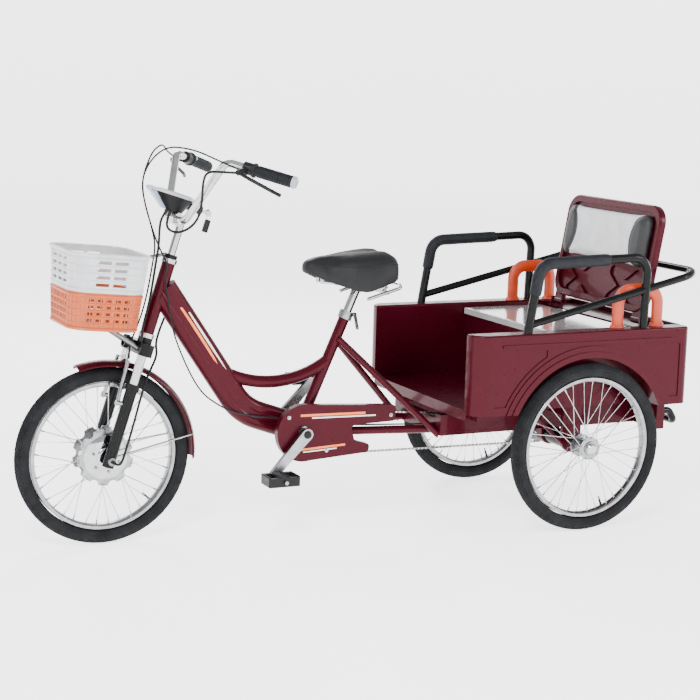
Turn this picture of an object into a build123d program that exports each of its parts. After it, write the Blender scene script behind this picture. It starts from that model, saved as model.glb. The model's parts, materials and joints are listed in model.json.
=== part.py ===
"""Electric cargo and passenger tricycle, in millimetres: +X forward, +Y left, +Z up, ground at Z = 0."""
import os
from math import cos, radians, sin, tan

from build123d import *

# wheels and stance
WHEELBASE = 1367.0
TRACK = 680.0
RIM_RADIUS = 209.0
RIM_WIDTH = 28.0
RIM_DEPTH = 14.0
TYRE_HEIGHT = 41.0
TYRE_WIDTH = 47.0
WHEEL_RADIUS = RIM_RADIUS + TYRE_HEIGHT
HALF_TRACK = TRACK / 2
SPOKES_PER_SIDE = 18
SPOKE_RADIUS = 1.5
FLANGE_THICK = 4.0
MOTOR_RADIUS = 66.0
MOTOR_FLANGE = 80.0
AXLE_RADIUS = 6.0
SHAFT_RADIUS = 12.5
RUN_CLEAR = 0.05
GUARD_BACK = 390.0
GUARD_TUBE = 11.0
REAR_AXLE_X = -(WHEELBASE + WHEEL_RADIUS - GUARD_BACK - GUARD_TUBE) / 2

# steering, along an axis that leans back
CASTER = 17.5
RAKE = 18.5
HEAD_HEIGHT = WHEEL_RADIUS + 213.5
HEAD_HALF = 102.0
HEAD_RADIUS = 19.0
CUP_HEIGHT = 12.0
STEERER_RADIUS = 13.5
CROWN_LOW = -162.0
CROWN_THICK = 34.0
LEG_Y = 65.0
STANCHION_RADIUS = 13.0
LOWER_RADIUS = 16.5
LOWER_TOP = -244.0
BAR_RADIUS = 11.0
BAR_GRIP_END = (-152.0, 327.0, 406.0)
BAR_BEND = (2.0, 195.0, 407.0)
BAR_LOW = (18.0, 72.0, 223.0)
GRIP_RADIUS = 16.0
GRIP_LENGTH = 122.0

# drive, heights from the axle line
CRANK_X = 793.0
CRANK_UP = 42.0
CRANK_LENGTH = 152.0
CRANK_ANGLE = -47.5
CRANK_AXLE = 8.0
CRANK_SHELL = 21.0
CHAIN_Y = 74.0
CHAIN_FRONT = 64.0
CHAIN_REAR = 36.0
CHAIN_DEPTH = 8.0
CHAIN_WIDTH = 7.0
COVER_SKIN = 2.5
SEAT_TUBE_LENGTH = 366.0
SEAT_LEAN = 23.4
SEAT_TUBE_RADIUS = 16.0
SEAT_POST_RADIUS = 13.0

# chassis and load box, heights from the axle line
RAIL_FRONT = 382.0
RAIL_IN = 118.0
RAIL_OUT = 148.0
RAIL_LOW = 18.0
RAIL_TOP = 80.0
BOX_FRONT = 385.0
BOX_REAR = -350.0
WALL_IN = HALF_TRACK - 50.0
WALL_OUT = HALF_TRACK + 10.0
WALL_LOW = 112.0
WALL_TOP = 345.0
ARCH_RADIUS = WHEEL_RADIUS + 18.0
FLOOR_LOW = 115.0
FLOOR_TOP = 123.0
BAY_TOP = FLOOR_TOP - 3.0
BENCH_FRONT = 66.0
SHEET = 8.0

# bench lid, backrest and armrests, heights from the axle line
SEAT_TOP = 330.0
SEAT_THICK = 20.0
SEAT_FRONT = 72.0
LID_HINGE_X = -222.0
LID_PIN = 4.0
LID_HINGE_UP = SEAT_TOP - 8.0
BACK_HINGE_X = -245.0
BACK_HINGE_UP = SEAT_TOP + 20.0
BACK_PIN = 5.0
BACK_LEAN = 9.7
BACK_HEIGHT = 350.0
BACK_HALF = WALL_IN - 34.0
BACK_THICK = 24.0
BACK_BORDER = 22.0
BACK_RECESS = 9.0
ARM_Y = HALF_TRACK - 12.0
ARM_TUBE = 13.0
ARM_FRONT = 208.0
ARM_REAR = -190.0
ARM_TOP = 550.0
GUARD_FRONT_UP = WALL_TOP + 23.0
GUARD_BACK_UP = WALL_TOP + 160.0
LOOP_X = -186.0
LOOP_Y = WALL_IN + 12.0

# basket, placed from the head tube's middle
BASKET_AHEAD = 156.0
BASKET_UP = -123.0
BASKET_TILT = 5.0
BASKET_HEIGHT = 208.0
BASKET_SPLIT = 104.0
BASKET_SKIN = 4.0
BASKET_DEPTH = 194.0
BASKET_WIDTH = 230.0
BASKET_FLARE = 30.0
BASKET_CORNER = 50.0

SIDES = (1, -1)


def spot(x, y, up):
    """A point given from the middle of the rear axle."""
    return Vector(x + REAR_AXLE_X, y, up + WHEEL_RADIUS)


def flat(x, up):
    """The same point on an upright sketch plane along the tricycle."""
    return (x + REAR_AXLE_X, up + WHEEL_RADIUS)


def head(ahead, left, up):
    """A point given from the head tube's middle: ahead of the steering axis, left of it, and up it."""
    c, s = cos(radians(CASTER)), sin(radians(CASTER))
    rise = HEAD_HEIGHT + up
    run = ahead - RAKE
    return spot(WHEELBASE + run * c - rise * s, left, run * s + rise * c)


def rod(start, end, radius):
    with BuildPart() as piece:
        with BuildSketch(Plane(origin=start, z_dir=end - start)):
            Circle(radius)
        extrude(amount=(end - start).length)
    return piece.part


def bent_tube(points, radius, bend):
    with BuildPart() as piece:
        with BuildLine() as path:
            FilletPolyline(*points, radius=bend)
        with BuildSketch(Plane(origin=path.line @ 0, z_dir=path.line % 0)):
            Circle(radius)
        sweep(path=path.line)
    return piece.part


def cable(points, radius):
    """A held cable: each bend is as wide as its two runs allow."""
    bends = []
    for before, here, after in zip(points, points[1:], points[2:]):
        run = min((here - before).length, (after - here).length)
        turn = (here - before).get_angle(after - here)
        bends.append(0.45 * run / tan(radians(turn / 2)))
    return bent_tube(points, radius, bends)


def block(x0, x1, y0, y1, up0, up1):
    with BuildPart() as piece:
        with Locations(spot((x0 + x1) / 2, (y0 + y1) / 2, (up0 + up1) / 2)):
            Box(x1 - x0, abs(y1 - y0), up1 - up0)
    return piece.part


def cross_rod(x, y0, y1, up, radius):
    return rod(spot(x, y0, up), spot(x, y1, up), radius)


def axis_rod(ahead, left, low, high, radius):
    return rod(head(ahead, left, low), head(ahead, left, high), radius)


def steering_plane(ahead):
    """A sketch plane across the steering axis: x is left, y is up the axis."""
    origin = head(ahead, 0, 0)
    return Plane(origin=origin, x_dir=(0, 1, 0), z_dir=head(ahead + 1, 0, 0) - origin)


def side_plane(y):
    """An upright sketch plane along the tricycle, on which a positive extrude goes to the right."""
    return Plane.XZ.offset(-y)


HEAD_PLANE = Plane(origin=head(0, 0, 0), x_dir=head(1, 0, 0) - head(0, 0, 0), z_dir=head(0, 0, 1) - head(0, 0, 0))

# frame tubes
with BuildPart() as head_tube:
    add(axis_rod(0, 0, -HEAD_HALF, HEAD_HALF, HEAD_RADIUS))
    add(axis_rod(0, 0, -HEAD_HALF, HEAD_HALF, STEERER_RADIUS + 1), mode=Mode.SUBTRACT)

with BuildPart() as headset_cups:
    for end in SIDES:
        add(axis_rod(0, 0, end * HEAD_HALF, end * (HEAD_HALF + CUP_HEIGHT), HEAD_RADIUS + 4))
    add(axis_rod(0, 0, -150, 150, STEERER_RADIUS + RUN_CLEAR), mode=Mode.SUBTRACT)

BEAM_TOP = head(-5, 0, 29)
BEAM_KNEE = spot(CRANK_X + 160, 0, CRANK_UP + 60)
BEAM_LOBE = 22.0
with BuildPart() as main_beam:
    with BuildLine() as beam_path:
        FilletPolyline(BEAM_TOP, BEAM_KNEE, spot(CRANK_X + 18, 0, CRANK_UP + 10), radius=160)
    with BuildSketch(Plane(origin=beam_path.line @ 0, x_dir=(0, 1, 0), z_dir=beam_path.line % 0)):
        for shift in SIDES:
            with Locations((0, shift * (BEAM_LOBE - 3))):
                Circle(BEAM_LOBE)
        Rectangle(2 * BEAM_LOBE - 6, 2 * BEAM_LOBE)
    sweep(path=beam_path.line)
    # coped onto the rear half of the head tube
    with BuildSketch(Plane(origin=head(0, 0, -HEAD_HALF), x_dir=(0, 1, 0), z_dir=head(0, 0, 1) - head(0, 0, 0))):
        with Locations((0, -BEAM_LOBE * 2)):
            Rectangle(BEAM_LOBE * 4, BEAM_LOBE * 4)
    extrude(amount=2 * HEAD_HALF, mode=Mode.SUBTRACT)
    add(axis_rod(0, 0, -HEAD_HALF, HEAD_HALF, HEAD_RADIUS), mode=Mode.SUBTRACT)
    add(cross_rod(CRANK_X, -60, 60, CRANK_UP, CRANK_SHELL), mode=Mode.SUBTRACT)

SEAT_FOOT = spot(CRANK_X - 21, 0, CRANK_UP)
SEAT_AXIS = Vector(-sin(radians(SEAT_LEAN)), 0, cos(radians(SEAT_LEAN)))
SEAT_HEAD = SEAT_FOOT + SEAT_AXIS * SEAT_TUBE_LENGTH
with BuildPart() as seat_tube:
    add(rod(SEAT_FOOT, SEAT_HEAD, SEAT_TUBE_RADIUS))
    add(cross_rod(CRANK_X, -34, 34, CRANK_UP, CRANK_SHELL))
    add(cross_rod(CRANK_X, -40, 40, CRANK_UP, CRANK_AXLE + RUN_CLEAR), mode=Mode.SUBTRACT)
    add(
        rod(SEAT_HEAD - SEAT_AXIS * 150, SEAT_HEAD + SEAT_AXIS * 5, SEAT_POST_RADIUS + RUN_CLEAR),
        mode=Mode.SUBTRACT,
    )
    add(main_beam.part, mode=Mode.SUBTRACT)

STEP_FRONT = BEAM_TOP + (BEAM_KNEE - BEAM_TOP) * 0.62
STEP_REAR = SEAT_FOOT + SEAT_AXIS * SEAT_TUBE_LENGTH * 0.57
STEP_RADIUS = BEAM_LOBE - 4.0
STEP_SPREAD = 20.7
STEP_CHORD = STEP_REAR - STEP_FRONT
STEP_TURN = (BEAM_KNEE - BEAM_TOP).get_angle(STEP_CHORD) - STEP_SPREAD
STEP_SAG = Vector(-STEP_CHORD.Z, 0, STEP_CHORD.X) * tan(radians(STEP_TURN / 2)) / 2
with BuildPart() as step_tube:
    with BuildLine() as step_path:
        ThreePointArc(STEP_FRONT, (STEP_FRONT + STEP_REAR) / 2 + STEP_SAG, STEP_REAR)
    with BuildSketch(Plane(origin=step_path.line @ 0, z_dir=step_path.line % 0)):
        Circle(STEP_RADIUS)
    sweep(path=step_path.line)
    add(main_beam.part, mode=Mode.SUBTRACT)
    add(rod(SEAT_FOOT, SEAT_HEAD, SEAT_TUBE_RADIUS), mode=Mode.SUBTRACT)
    with BuildSketch(Plane(origin=SEAT_FOOT, z_dir=SEAT_AXIS)):
        with Locations((-60, 0)):
            Rectangle(120, 120)
    extrude(amount=SEAT_TUBE_LENGTH, mode=Mode.SUBTRACT)

with BuildPart() as stay_bridge:
    add(block(RAIL_FRONT - 30, RAIL_FRONT, -RAIL_IN, RAIL_IN, RAIL_LOW, RAIL_TOP - 15))

with BuildPart() as chain_stays:
    for side in SIDES:
        add(rod(spot(CRANK_X, side * 38, CRANK_UP - 6), spot(RAIL_FRONT - 12, side * 100, RAIL_LOW + 12), 12))
    add(rod(SEAT_FOOT, SEAT_HEAD, SEAT_TUBE_RADIUS), mode=Mode.SUBTRACT)
    add(cross_rod(CRANK_X, -60, 60, CRANK_UP, CRANK_SHELL), mode=Mode.SUBTRACT)
    add(block(CRANK_X, CRANK_X + 100, -90, 90, CRANK_UP - 90, CRANK_UP + 90), mode=Mode.SUBTRACT)
    add(main_beam.part, mode=Mode.SUBTRACT)
    add(stay_bridge.part, mode=Mode.SUBTRACT)
    add(block(RAIL_FRONT - 90, RAIL_FRONT - 20, -RAIL_IN, RAIL_IN, -50, RAIL_TOP), mode=Mode.SUBTRACT)

with BuildPart() as seat_stays:
    for side in SIDES:
        high = SEAT_FOOT + SEAT_AXIS * SEAT_TUBE_LENGTH * 0.77
        add(rod(high + Vector(0, side * 15, 0), spot(RAIL_FRONT - 10, side * (RAIL_IN + 12), RAIL_LOW - 6), 10))
    add(rod(SEAT_FOOT, SEAT_HEAD, SEAT_TUBE_RADIUS), mode=Mode.SUBTRACT)
    add(block(RAIL_FRONT - 80, RAIL_FRONT, -RAIL_OUT - 12, RAIL_OUT + 12, -50, RAIL_TOP), mode=Mode.SUBTRACT)

with BuildPart() as seat_clamp:
    add(rod(SEAT_HEAD - SEAT_AXIS * 24, SEAT_HEAD, SEAT_TUBE_RADIUS + 5))
    add(rod(SEAT_HEAD - SEAT_AXIS * 12 - Vector(34, 0, 0), SEAT_HEAD - SEAT_AXIS * 12, 6))
    add(rod(SEAT_HEAD - SEAT_AXIS * 12 - Vector(30, -2, 0), SEAT_HEAD - SEAT_AXIS * 50 - Vector(34, -44, 0), 5))
    add(rod(SEAT_HEAD - SEAT_AXIS * 200, SEAT_HEAD + SEAT_AXIS * 5, SEAT_TUBE_RADIUS), mode=Mode.SUBTRACT)

# chassis under the box
with BuildPart() as chassis_rails:
    for side in SIDES:
        add(block(BOX_REAR + 48, RAIL_FRONT, side * RAIL_IN, side * RAIL_OUT, RAIL_LOW, RAIL_TOP))

BEARER_HALF = 32.0
with BuildPart() as chassis_bearers:
    for x0, x1, low in (
        (BOX_FRONT - 85, BOX_FRONT - 57, RAIL_TOP),
        (-BEARER_HALF, BEARER_HALF, RAIL_TOP),
        (BOX_REAR + 20, BOX_REAR + 48, RAIL_LOW),
    ):
        add(block(x0, x1, 22 - WALL_IN, WALL_IN - 22, low, FLOOR_LOW))

HANGER_RADIUS = 32.0
HANGER_OUT = WALL_IN - 38.0
HANGER_THICK = 12.0
with BuildPart() as axle_hangers:
    for side in SIDES:
        for near, far, top in (
            (RAIL_IN, RAIL_OUT, RAIL_LOW),
            (HANGER_OUT, HANGER_OUT + HANGER_THICK, RAIL_TOP),
        ):
            with BuildSketch(side_plane(side * far)):
                with Locations(flat(0, 0)):
                    Circle(HANGER_RADIUS)
                with Locations(flat(0, top - 4)):
                    Rectangle(2 * HANGER_RADIUS, 8)
                make_hull()
            extrude(amount=side * (far - near))
        strut_y = side * (HANGER_OUT + HANGER_THICK / 2)
        add(rod(spot(170, strut_y, FLOOR_LOW + 6), spot(16, strut_y, -14), 5.5))
    add(block(0, 300, -WALL_IN, WALL_IN, FLOOR_LOW, FLOOR_LOW + 40), mode=Mode.SUBTRACT)
    add(chassis_rails.part, mode=Mode.SUBTRACT)
    add(cross_rod(0, -WALL_IN, WALL_IN, 0, SHAFT_RADIUS + RUN_CLEAR), mode=Mode.SUBTRACT)

with BuildPart() as axle_tubes:
    for side in SIDES:
        add(cross_rod(0, side * RAIL_OUT, side * HANGER_OUT, 0, 26))
    add(cross_rod(0, -WALL_IN, WALL_IN, 0, SHAFT_RADIUS + 2), mode=Mode.SUBTRACT)

# load box
with BuildPart() as box_floor:
    add(block(BOX_REAR, BOX_FRONT, -WALL_IN, WALL_IN, FLOOR_LOW, FLOOR_TOP))
    add(block(BOX_FRONT - 6, BOX_FRONT, -WALL_IN, WALL_IN, FLOOR_LOW - 22, FLOOR_LOW))
    add(block(BOX_REAR, BENCH_FRONT, -WALL_IN, WALL_IN, BAY_TOP, FLOOR_TOP), mode=Mode.SUBTRACT)


def pressed_panel(side, x0, x1):
    """The sunk field of a side wall between the arch and one end, drawn from the outside."""
    with BuildSketch(side_plane(side * WALL_OUT)) as field:
        with BuildLine():
            Polyline(
                flat(x0, WALL_LOW + 24),
                flat(x1, WALL_LOW + 24),
                flat(x1, WALL_TOP - 48),
                flat(x0, WALL_TOP - 48),
                close=True,
            )
        make_face()
        with Locations(flat(0, 0)):
            Circle(ARCH_RADIUS + 46, mode=Mode.SUBTRACT)
    return field.sketch


def side_wall(side):
    with BuildPart() as wall:
        with BuildSketch(Plane.XY.offset(WHEEL_RADIUS + WALL_LOW)):
            with BuildLine():
                Polyline(
                    spot(BOX_REAR, side * WALL_IN, -WHEEL_RADIUS),
                    spot(BOX_REAR, side * WALL_OUT, -WHEEL_RADIUS),
                    spot(BOX_FRONT, side * WALL_OUT, -WHEEL_RADIUS),
                    spot(BOX_FRONT, side * WALL_IN, -WHEEL_RADIUS),
                    close=True,
                )
            make_face()
        extrude(amount=WALL_TOP - WALL_LOW)
        outer = wall.edges().filter_by(Axis.Z).sort_by(Axis.Y)
        pair = outer[-2:] if side > 0 else outer[:2]
        fillet(pair.sort_by(Axis.X)[-1], 50)
        fillet(pair.sort_by(Axis.X)[0], 24)
        fillet(wall.faces().sort_by(Axis.Z)[-1].outer_wire().edges(), 6)
        # a stepped lip round the arch, a rib under the ledge and sunk fields beside the arch
        for lip, proud in ((34, 3), (17, 6)):
            with BuildSketch(side_plane(side * WALL_OUT)):
                with Locations(flat(0, 0)):
                    Circle(ARCH_RADIUS + lip)
                with Locations(flat(0, WALL_LOW - 300)):
                    Rectangle(900, 600, mode=Mode.SUBTRACT)
            extrude(amount=-side * proud)
        with BuildSketch(side_plane(side * WALL_OUT)):
            with Locations(flat((BOX_FRONT + BOX_REAR) / 2 - 10, WALL_TOP - 34)):
                SlotOverall(BOX_FRONT - BOX_REAR - 150, 10)
        extrude(amount=-side * 3)
        for x0, x1 in ((150, BOX_FRONT - 62), (BOX_REAR + 36, -150)):
            extrude(pressed_panel(side, x0, x1), amount=side * 3, mode=Mode.SUBTRACT)
        add(
            cross_rod(0, side * (WALL_IN + 6), side * (WALL_OUT + 40), 0, ARCH_RADIUS),
            mode=Mode.SUBTRACT,
        )
    return wall.part


with BuildPart() as side_wall_left:
    add(side_wall(1))

with BuildPart() as side_wall_right:
    add(side_wall(-1))

with BuildPart() as rear_panel:
    add(block(BOX_REAR, BOX_REAR + 10, -WALL_IN, WALL_IN, BAY_TOP, WALL_TOP))
    with BuildSketch(Plane.YZ.offset(BOX_REAR + REAR_AXLE_X)):
        with Locations((0, WHEEL_RADIUS + (BAY_TOP + WALL_TOP) / 2)):
            RectangleRounded(2 * WALL_IN - 110, WALL_TOP - BAY_TOP - 90, 24)
    extrude(amount=3, mode=Mode.SUBTRACT)

with BuildPart() as bench_front:
    add(block(BENCH_FRONT - SHEET, BENCH_FRONT, -WALL_IN, WALL_IN, BAY_TOP, SEAT_TOP - SEAT_THICK - 0.5))

with BuildPart() as battery_box:
    add(block(-190, 30, -150, 150, BAY_TOP, 270))
    fillet(battery_box.faces().sort_by(Axis.Z)[-1].outer_wire().edges(), 8)

SHELF_FRONT = LID_HINGE_X - 14.0
LUG_Y = (120.0, 184.0)
LUG_THICK = 8.0
with BuildPart() as rear_shelf:
    add(block(BOX_REAR + 10, SHELF_FRONT, -WALL_IN, WALL_IN, SEAT_TOP - 16, SEAT_TOP))
    for side in SIDES:
        for near in LUG_Y:
            add(
                block(SHELF_FRONT - 2, LID_HINGE_X, side * near, side * (near + LUG_THICK), SEAT_TOP - 15, SEAT_TOP - 1)
            )
            add(cross_rod(LID_HINGE_X, side * near, side * (near + LUG_THICK), LID_HINGE_UP, LID_PIN + 3))
        add(cross_rod(LID_HINGE_X, side * (LUG_Y[0] + 1), side * (LUG_Y[1] + 7), LID_HINGE_UP, LID_PIN))
        add(
            block(
                BACK_HINGE_X - 30, BACK_HINGE_X + 12, side * (WALL_IN - 47), side * (WALL_IN - 39), SEAT_TOP, SEAT_TOP + 32
            )
        )
        add(cross_rod(BACK_HINGE_X, side * (WALL_IN - 85), side * (WALL_IN - 40), BACK_HINGE_UP, BACK_PIN))

# hinged bench lid
with BuildPart() as seat_lid:
    add(block(LID_HINGE_X + 8, SEAT_FRONT, 6 - WALL_IN, WALL_IN - 6, SEAT_TOP - SEAT_THICK, SEAT_TOP))
    fillet(seat_lid.faces().sort_by(Axis.Z)[-1].outer_wire().edges(), 4)
    for side in SIDES:
        near, far = side * (LUG_Y[0] + LUG_THICK + 1), side * (LUG_Y[1] - 1)
        add(cross_rod(LID_HINGE_X, near, far, LID_HINGE_UP, LID_PIN + 4))
        add(block(LID_HINGE_X, LID_HINGE_X + 12, near, far, LID_HINGE_UP - 8, SEAT_TOP))
    for side in SIDES:
        add(
            cross_rod(LID_HINGE_X, side * (LUG_Y[0] - 1), side * (LUG_Y[1] + 9), LID_HINGE_UP, LID_PIN + RUN_CLEAR),
            mode=Mode.SUBTRACT,
        )

# folding backrest, drawn on its own leaning plane
BACK_PLANE = Plane(
    origin=spot(BACK_HINGE_X, 0, BACK_HINGE_UP),
    x_dir=(0, 1, 0),
    z_dir=(cos(radians(BACK_LEAN)), 0, sin(radians(BACK_LEAN))),
)
BACK_MIDDLE = BACK_HEIGHT / 2 + 10
BACK_FACE = BACK_THICK / 2 - BACK_RECESS
BACK_LUG_Y = WALL_IN - 72.0
CROSS_UP = 88.0
with BuildPart() as backrest_panel:
    with BuildSketch(BACK_PLANE.offset(-BACK_THICK / 2)):
        with Locations((0, BACK_MIDDLE)):
            RectangleRounded(2 * BACK_HALF, BACK_HEIGHT - 20, 56)
    extrude(amount=BACK_THICK)
    fillet(backrest_panel.faces().sort_by(Axis.X)[-1].outer_wire().edges(), 6)
    with BuildSketch(BACK_PLANE.offset(BACK_THICK / 2)):
        with Locations((0, BACK_MIDDLE)):
            RectangleRounded(2 * (BACK_HALF - BACK_BORDER), BACK_HEIGHT - 20 - 2 * BACK_BORDER, 40)
    extrude(amount=-BACK_RECESS, mode=Mode.SUBTRACT)
    # two pressed crosses under the cushion, side by side
    with BuildSketch(BACK_PLANE.offset(BACK_FACE)):
        for side in SIDES:
            for turn in (34, -34):
                with Locations(Location((side * BACK_HALF / 2 * 0.9, CROSS_UP), turn)):
                    SlotOverall(190, 36)
    extrude(amount=-7, mode=Mode.SUBTRACT)
    for side in SIDES:
        add(cross_rod(BACK_HINGE_X, side * (BACK_LUG_Y - 22), side * (BACK_LUG_Y + 22), BACK_HINGE_UP, 11))
        with BuildSketch(BACK_PLANE.offset(-8)):
            with Locations((side * BACK_LUG_Y, 17)):
                Rectangle(40, 34)
        extrude(amount=16)
        add(
            cross_rod(
                BACK_HINGE_X, side * (BACK_LUG_Y - 28), side * (BACK_LUG_Y + 42), BACK_HINGE_UP, BACK_PIN + RUN_CLEAR
            ),
            mode=Mode.SUBTRACT,
        )

CUSHION_UP = 237.0
CUSHION_HEIGHT = 176.0
with BuildPart() as backrest_cushion:
    with BuildSketch(BACK_PLANE.offset(BACK_FACE)):
        with Locations((0, CUSHION_UP)):
            RectangleRounded(2 * BACK_HALF - 52, CUSHION_HEIGHT, 36)
    extrude(amount=40)
    fillet(backrest_cushion.faces().sort_by(Axis.X)[-1].outer_wire().edges(), 16)


# armrests, guard rail and hand loops
def armrest_points(side):
    y = side * ARM_Y
    return (
        spot(ARM_FRONT, y, WALL_TOP - 5),
        spot(ARM_FRONT - 34, y, ARM_TOP - 6),
        spot(ARM_REAR - 6, y, ARM_TOP + 6),
        spot(ARM_REAR, y, WALL_TOP - 5),
    )


def armrest(side):
    return bent_tube(armrest_points(side), ARM_TUBE, 48)


with BuildPart() as guard_rail:
    add(
        bent_tube(
            (
                spot(ARM_FRONT - 5, ARM_Y, GUARD_FRONT_UP),
                spot(-GUARD_BACK, ARM_Y, GUARD_BACK_UP),
                spot(-GUARD_BACK, -ARM_Y, GUARD_BACK_UP),
                spot(ARM_FRONT - 5, -ARM_Y, GUARD_FRONT_UP),
            ),
            GUARD_TUBE,
            68,
        )
    )
    for side in SIDES:
        foot, knee, _, _ = armrest_points(side)
        add(rod(foot, knee, ARM_TUBE), mode=Mode.SUBTRACT)
    add(block(ARM_FRONT - 6, ARM_FRONT + 60, -WALL_OUT, WALL_OUT, WALL_TOP, ARM_TOP), mode=Mode.SUBTRACT)

with BuildPart() as armrest_left:
    add(armrest(1))
    add(block(BOX_REAR, BOX_FRONT, WALL_IN, WALL_OUT, WALL_LOW, WALL_TOP), mode=Mode.SUBTRACT)
    add(guard_rail.part, mode=Mode.SUBTRACT)

with BuildPart() as armrest_right:
    add(armrest(-1))
    add(block(BOX_REAR, BOX_FRONT, -WALL_OUT, -WALL_IN, WALL_LOW, WALL_TOP), mode=Mode.SUBTRACT)
    add(guard_rail.part, mode=Mode.SUBTRACT)

with BuildPart() as armrest_pads:
    for side in SIDES:
        foot, knee, rear, _ = armrest_points(side)
        pad_foot = knee + (foot - knee) * 0.45
        pad_end = knee + (rear - knee) * 0.63
        add(bent_tube((pad_foot, knee, pad_end), ARM_TUBE + 6, 48))
    for side in SIDES:
        add(armrest(side), mode=Mode.SUBTRACT)

LOOP_HALF = 70.0
LOOP_RISE = 111.0
with BuildPart() as hand_loops:
    for side in SIDES:
        y = side * LOOP_Y
        with BuildLine() as loop_path:
            FilletPolyline(
                spot(LOOP_X + LOOP_HALF, y, WALL_TOP),
                spot(LOOP_X + LOOP_HALF, y, WALL_TOP + LOOP_RISE),
                spot(LOOP_X - LOOP_HALF, y, WALL_TOP + LOOP_RISE),
                spot(LOOP_X - LOOP_HALF, y, WALL_TOP),
                radius=44,
            )
        with BuildSketch(Plane(origin=loop_path.line @ 0, x_dir=(1, 0, 0), z_dir=(0, 0, 1))):
            Ellipse(19, 12)
        sweep(path=loop_path.line)
        for end in SIDES:
            with BuildSketch(Plane.XY.offset(WHEEL_RADIUS + WALL_TOP)):
                with Locations((REAR_AXLE_X + LOOP_X + end * LOOP_HALF, y)):
                    Ellipse(26, 12.5)
            extrude(amount=10, taper=18)

BUMPER_Y = WALL_IN - 50.0
BUMPER_OUT = BOX_REAR - 38.0
with BuildPart() as rear_bumper:
    add(
        bent_tube(
            (
                spot(BOX_REAR + 20, BUMPER_Y, 68),
                spot(BUMPER_OUT + 22, BUMPER_Y, 68),
                spot(BUMPER_OUT, BUMPER_Y, 34),
                spot(BUMPER_OUT, -BUMPER_Y, 34),
                spot(BUMPER_OUT + 22, -BUMPER_Y, 68),
                spot(BOX_REAR + 20, -BUMPER_Y, 68),
            ),
            11,
            16,
        )
    )


# saddle, placed from the seat tube's head
def saddle_spot(ahead, left, up):
    return SEAT_HEAD + Vector(ahead, left, up)


SADDLE_BASE = 120.0
with BuildPart() as seat_post:
    add(rod(SEAT_HEAD - SEAT_AXIS * 150, SEAT_HEAD + SEAT_AXIS * 84, SEAT_POST_RADIUS))
    add(rod(saddle_spot(-34, -48, 82), saddle_spot(-34, 48, 82), 15))
    for side in SIDES:
        add(rod(saddle_spot(-84, side * 55, 68), saddle_spot(93, side * 15, 92), 4.5))
        add(rod(saddle_spot(88, side * 15, 86), saddle_spot(88, side * 15, SADDLE_BASE), 6))
        # a coil spring as a stack of rounds on one core
        with BuildSketch(Plane(origin=saddle_spot(-87, side * 55, 0), x_dir=(1, 0, 0), z_dir=(0, -1, 0))):
            with Locations((6, 92)):
                Rectangle(12, 2 * (SADDLE_BASE - 92))
            with Locations(*[(12, 76 + 9 * turn) for turn in range(5)]):
                Rectangle(10, 5)
        revolve(axis=Axis(saddle_spot(-87, side * 55, 0), (0, 0, 1)))
    with BuildSketch(Plane.XY.offset(SEAT_HEAD.Z + 58)):
        with Locations(saddle_spot(-87, 0, -SEAT_HEAD.Z)):
            Rectangle(10, 2 * 94)
    extrude(amount=8)
    # chrome hoop under the rear edge
    add(
        bent_tube(
            [
                saddle_spot(*point)
                for point in (
                    (-19, 94, 47),
                    (-127, 94, 77),
                    (-140, 60, 82),
                    (-140, -60, 82),
                    (-127, -94, 77),
                    (-19, -94, 47),
                )
            ],
            5,
            16,
        )
    )

SADDLE_WALL = 9.0
with BuildPart() as saddle:
    with BuildSketch(Plane.XZ.offset(-130)):
        with BuildLine():
            FilletPolyline(
                *[
                    (SEAT_HEAD.X + ahead, SEAT_HEAD.Z + up)
                    for ahead, up in (
                        (152, 114),
                        (-21, 58),
                        (-131, 92),
                        (-137, 174),
                        (-80, 184),
                        (64, 165),
                        (146, 161),
                    )
                ],
                radius=12,
                close=True,
            )
        make_face()
    extrude(amount=260)
    with BuildSketch(Plane.XY.offset(SEAT_HEAD.Z)) as saddle_plan:
        with Locations(saddle_spot(120, 0, -SEAT_HEAD.Z)):
            Circle(31)
        with Locations(saddle_spot(-66, 45, -SEAT_HEAD.Z), saddle_spot(-66, -45, -SEAT_HEAD.Z)):
            Circle(66)
        make_hull()
    extrude(amount=240, mode=Mode.INTERSECT)
    with BuildSketch(Plane.XY.offset(SEAT_HEAD.Z + 20)):
        add(saddle_plan.sketch_local)
        offset(amount=-SADDLE_WALL, mode=Mode.REPLACE)
    extrude(amount=SADDLE_BASE - 20, mode=Mode.SUBTRACT)

# drive
CRANK_TIP = Vector(cos(radians(CRANK_ANGLE)), 0, sin(radians(CRANK_ANGLE))) * CRANK_LENGTH
PEDAL_AXLE = 5.5
ARM_LOW = 98.0
ARM_HIGH = 112.0


def crank_tip(side):
    return (CRANK_X + side * CRANK_TIP.X, CRANK_UP + side * CRANK_TIP.Z)


with BuildPart() as crankset:
    add(cross_rod(CRANK_X, -ARM_HIGH, ARM_HIGH, CRANK_UP, CRANK_AXLE))
    for side in SIDES:
        add(cross_rod(CRANK_X, side * 35, side * ARM_LOW, CRANK_UP, 14))
    with BuildSketch(side_plane(CHAIN_Y + 2)):
        with Locations(flat(CRANK_X, CRANK_UP)):
            Circle(CHAIN_FRONT - 1)
            with PolarLocations(CHAIN_FRONT * 0.62, 5):
                Circle(CHAIN_FRONT * 0.23, mode=Mode.SUBTRACT)
    extrude(amount=4)
    for side in SIDES:
        with BuildSketch(side_plane(side * ARM_HIGH)):
            with Locations(flat(CRANK_X, CRANK_UP)):
                Circle(17)
            with Locations(flat(*crank_tip(side))):
                Circle(12)
            make_hull()
        extrude(amount=side * (ARM_HIGH - ARM_LOW))
        tip_x, tip_up = crank_tip(side)
        add(cross_rod(tip_x, side * 105, side * 206, tip_up, PEDAL_AXLE))


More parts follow.
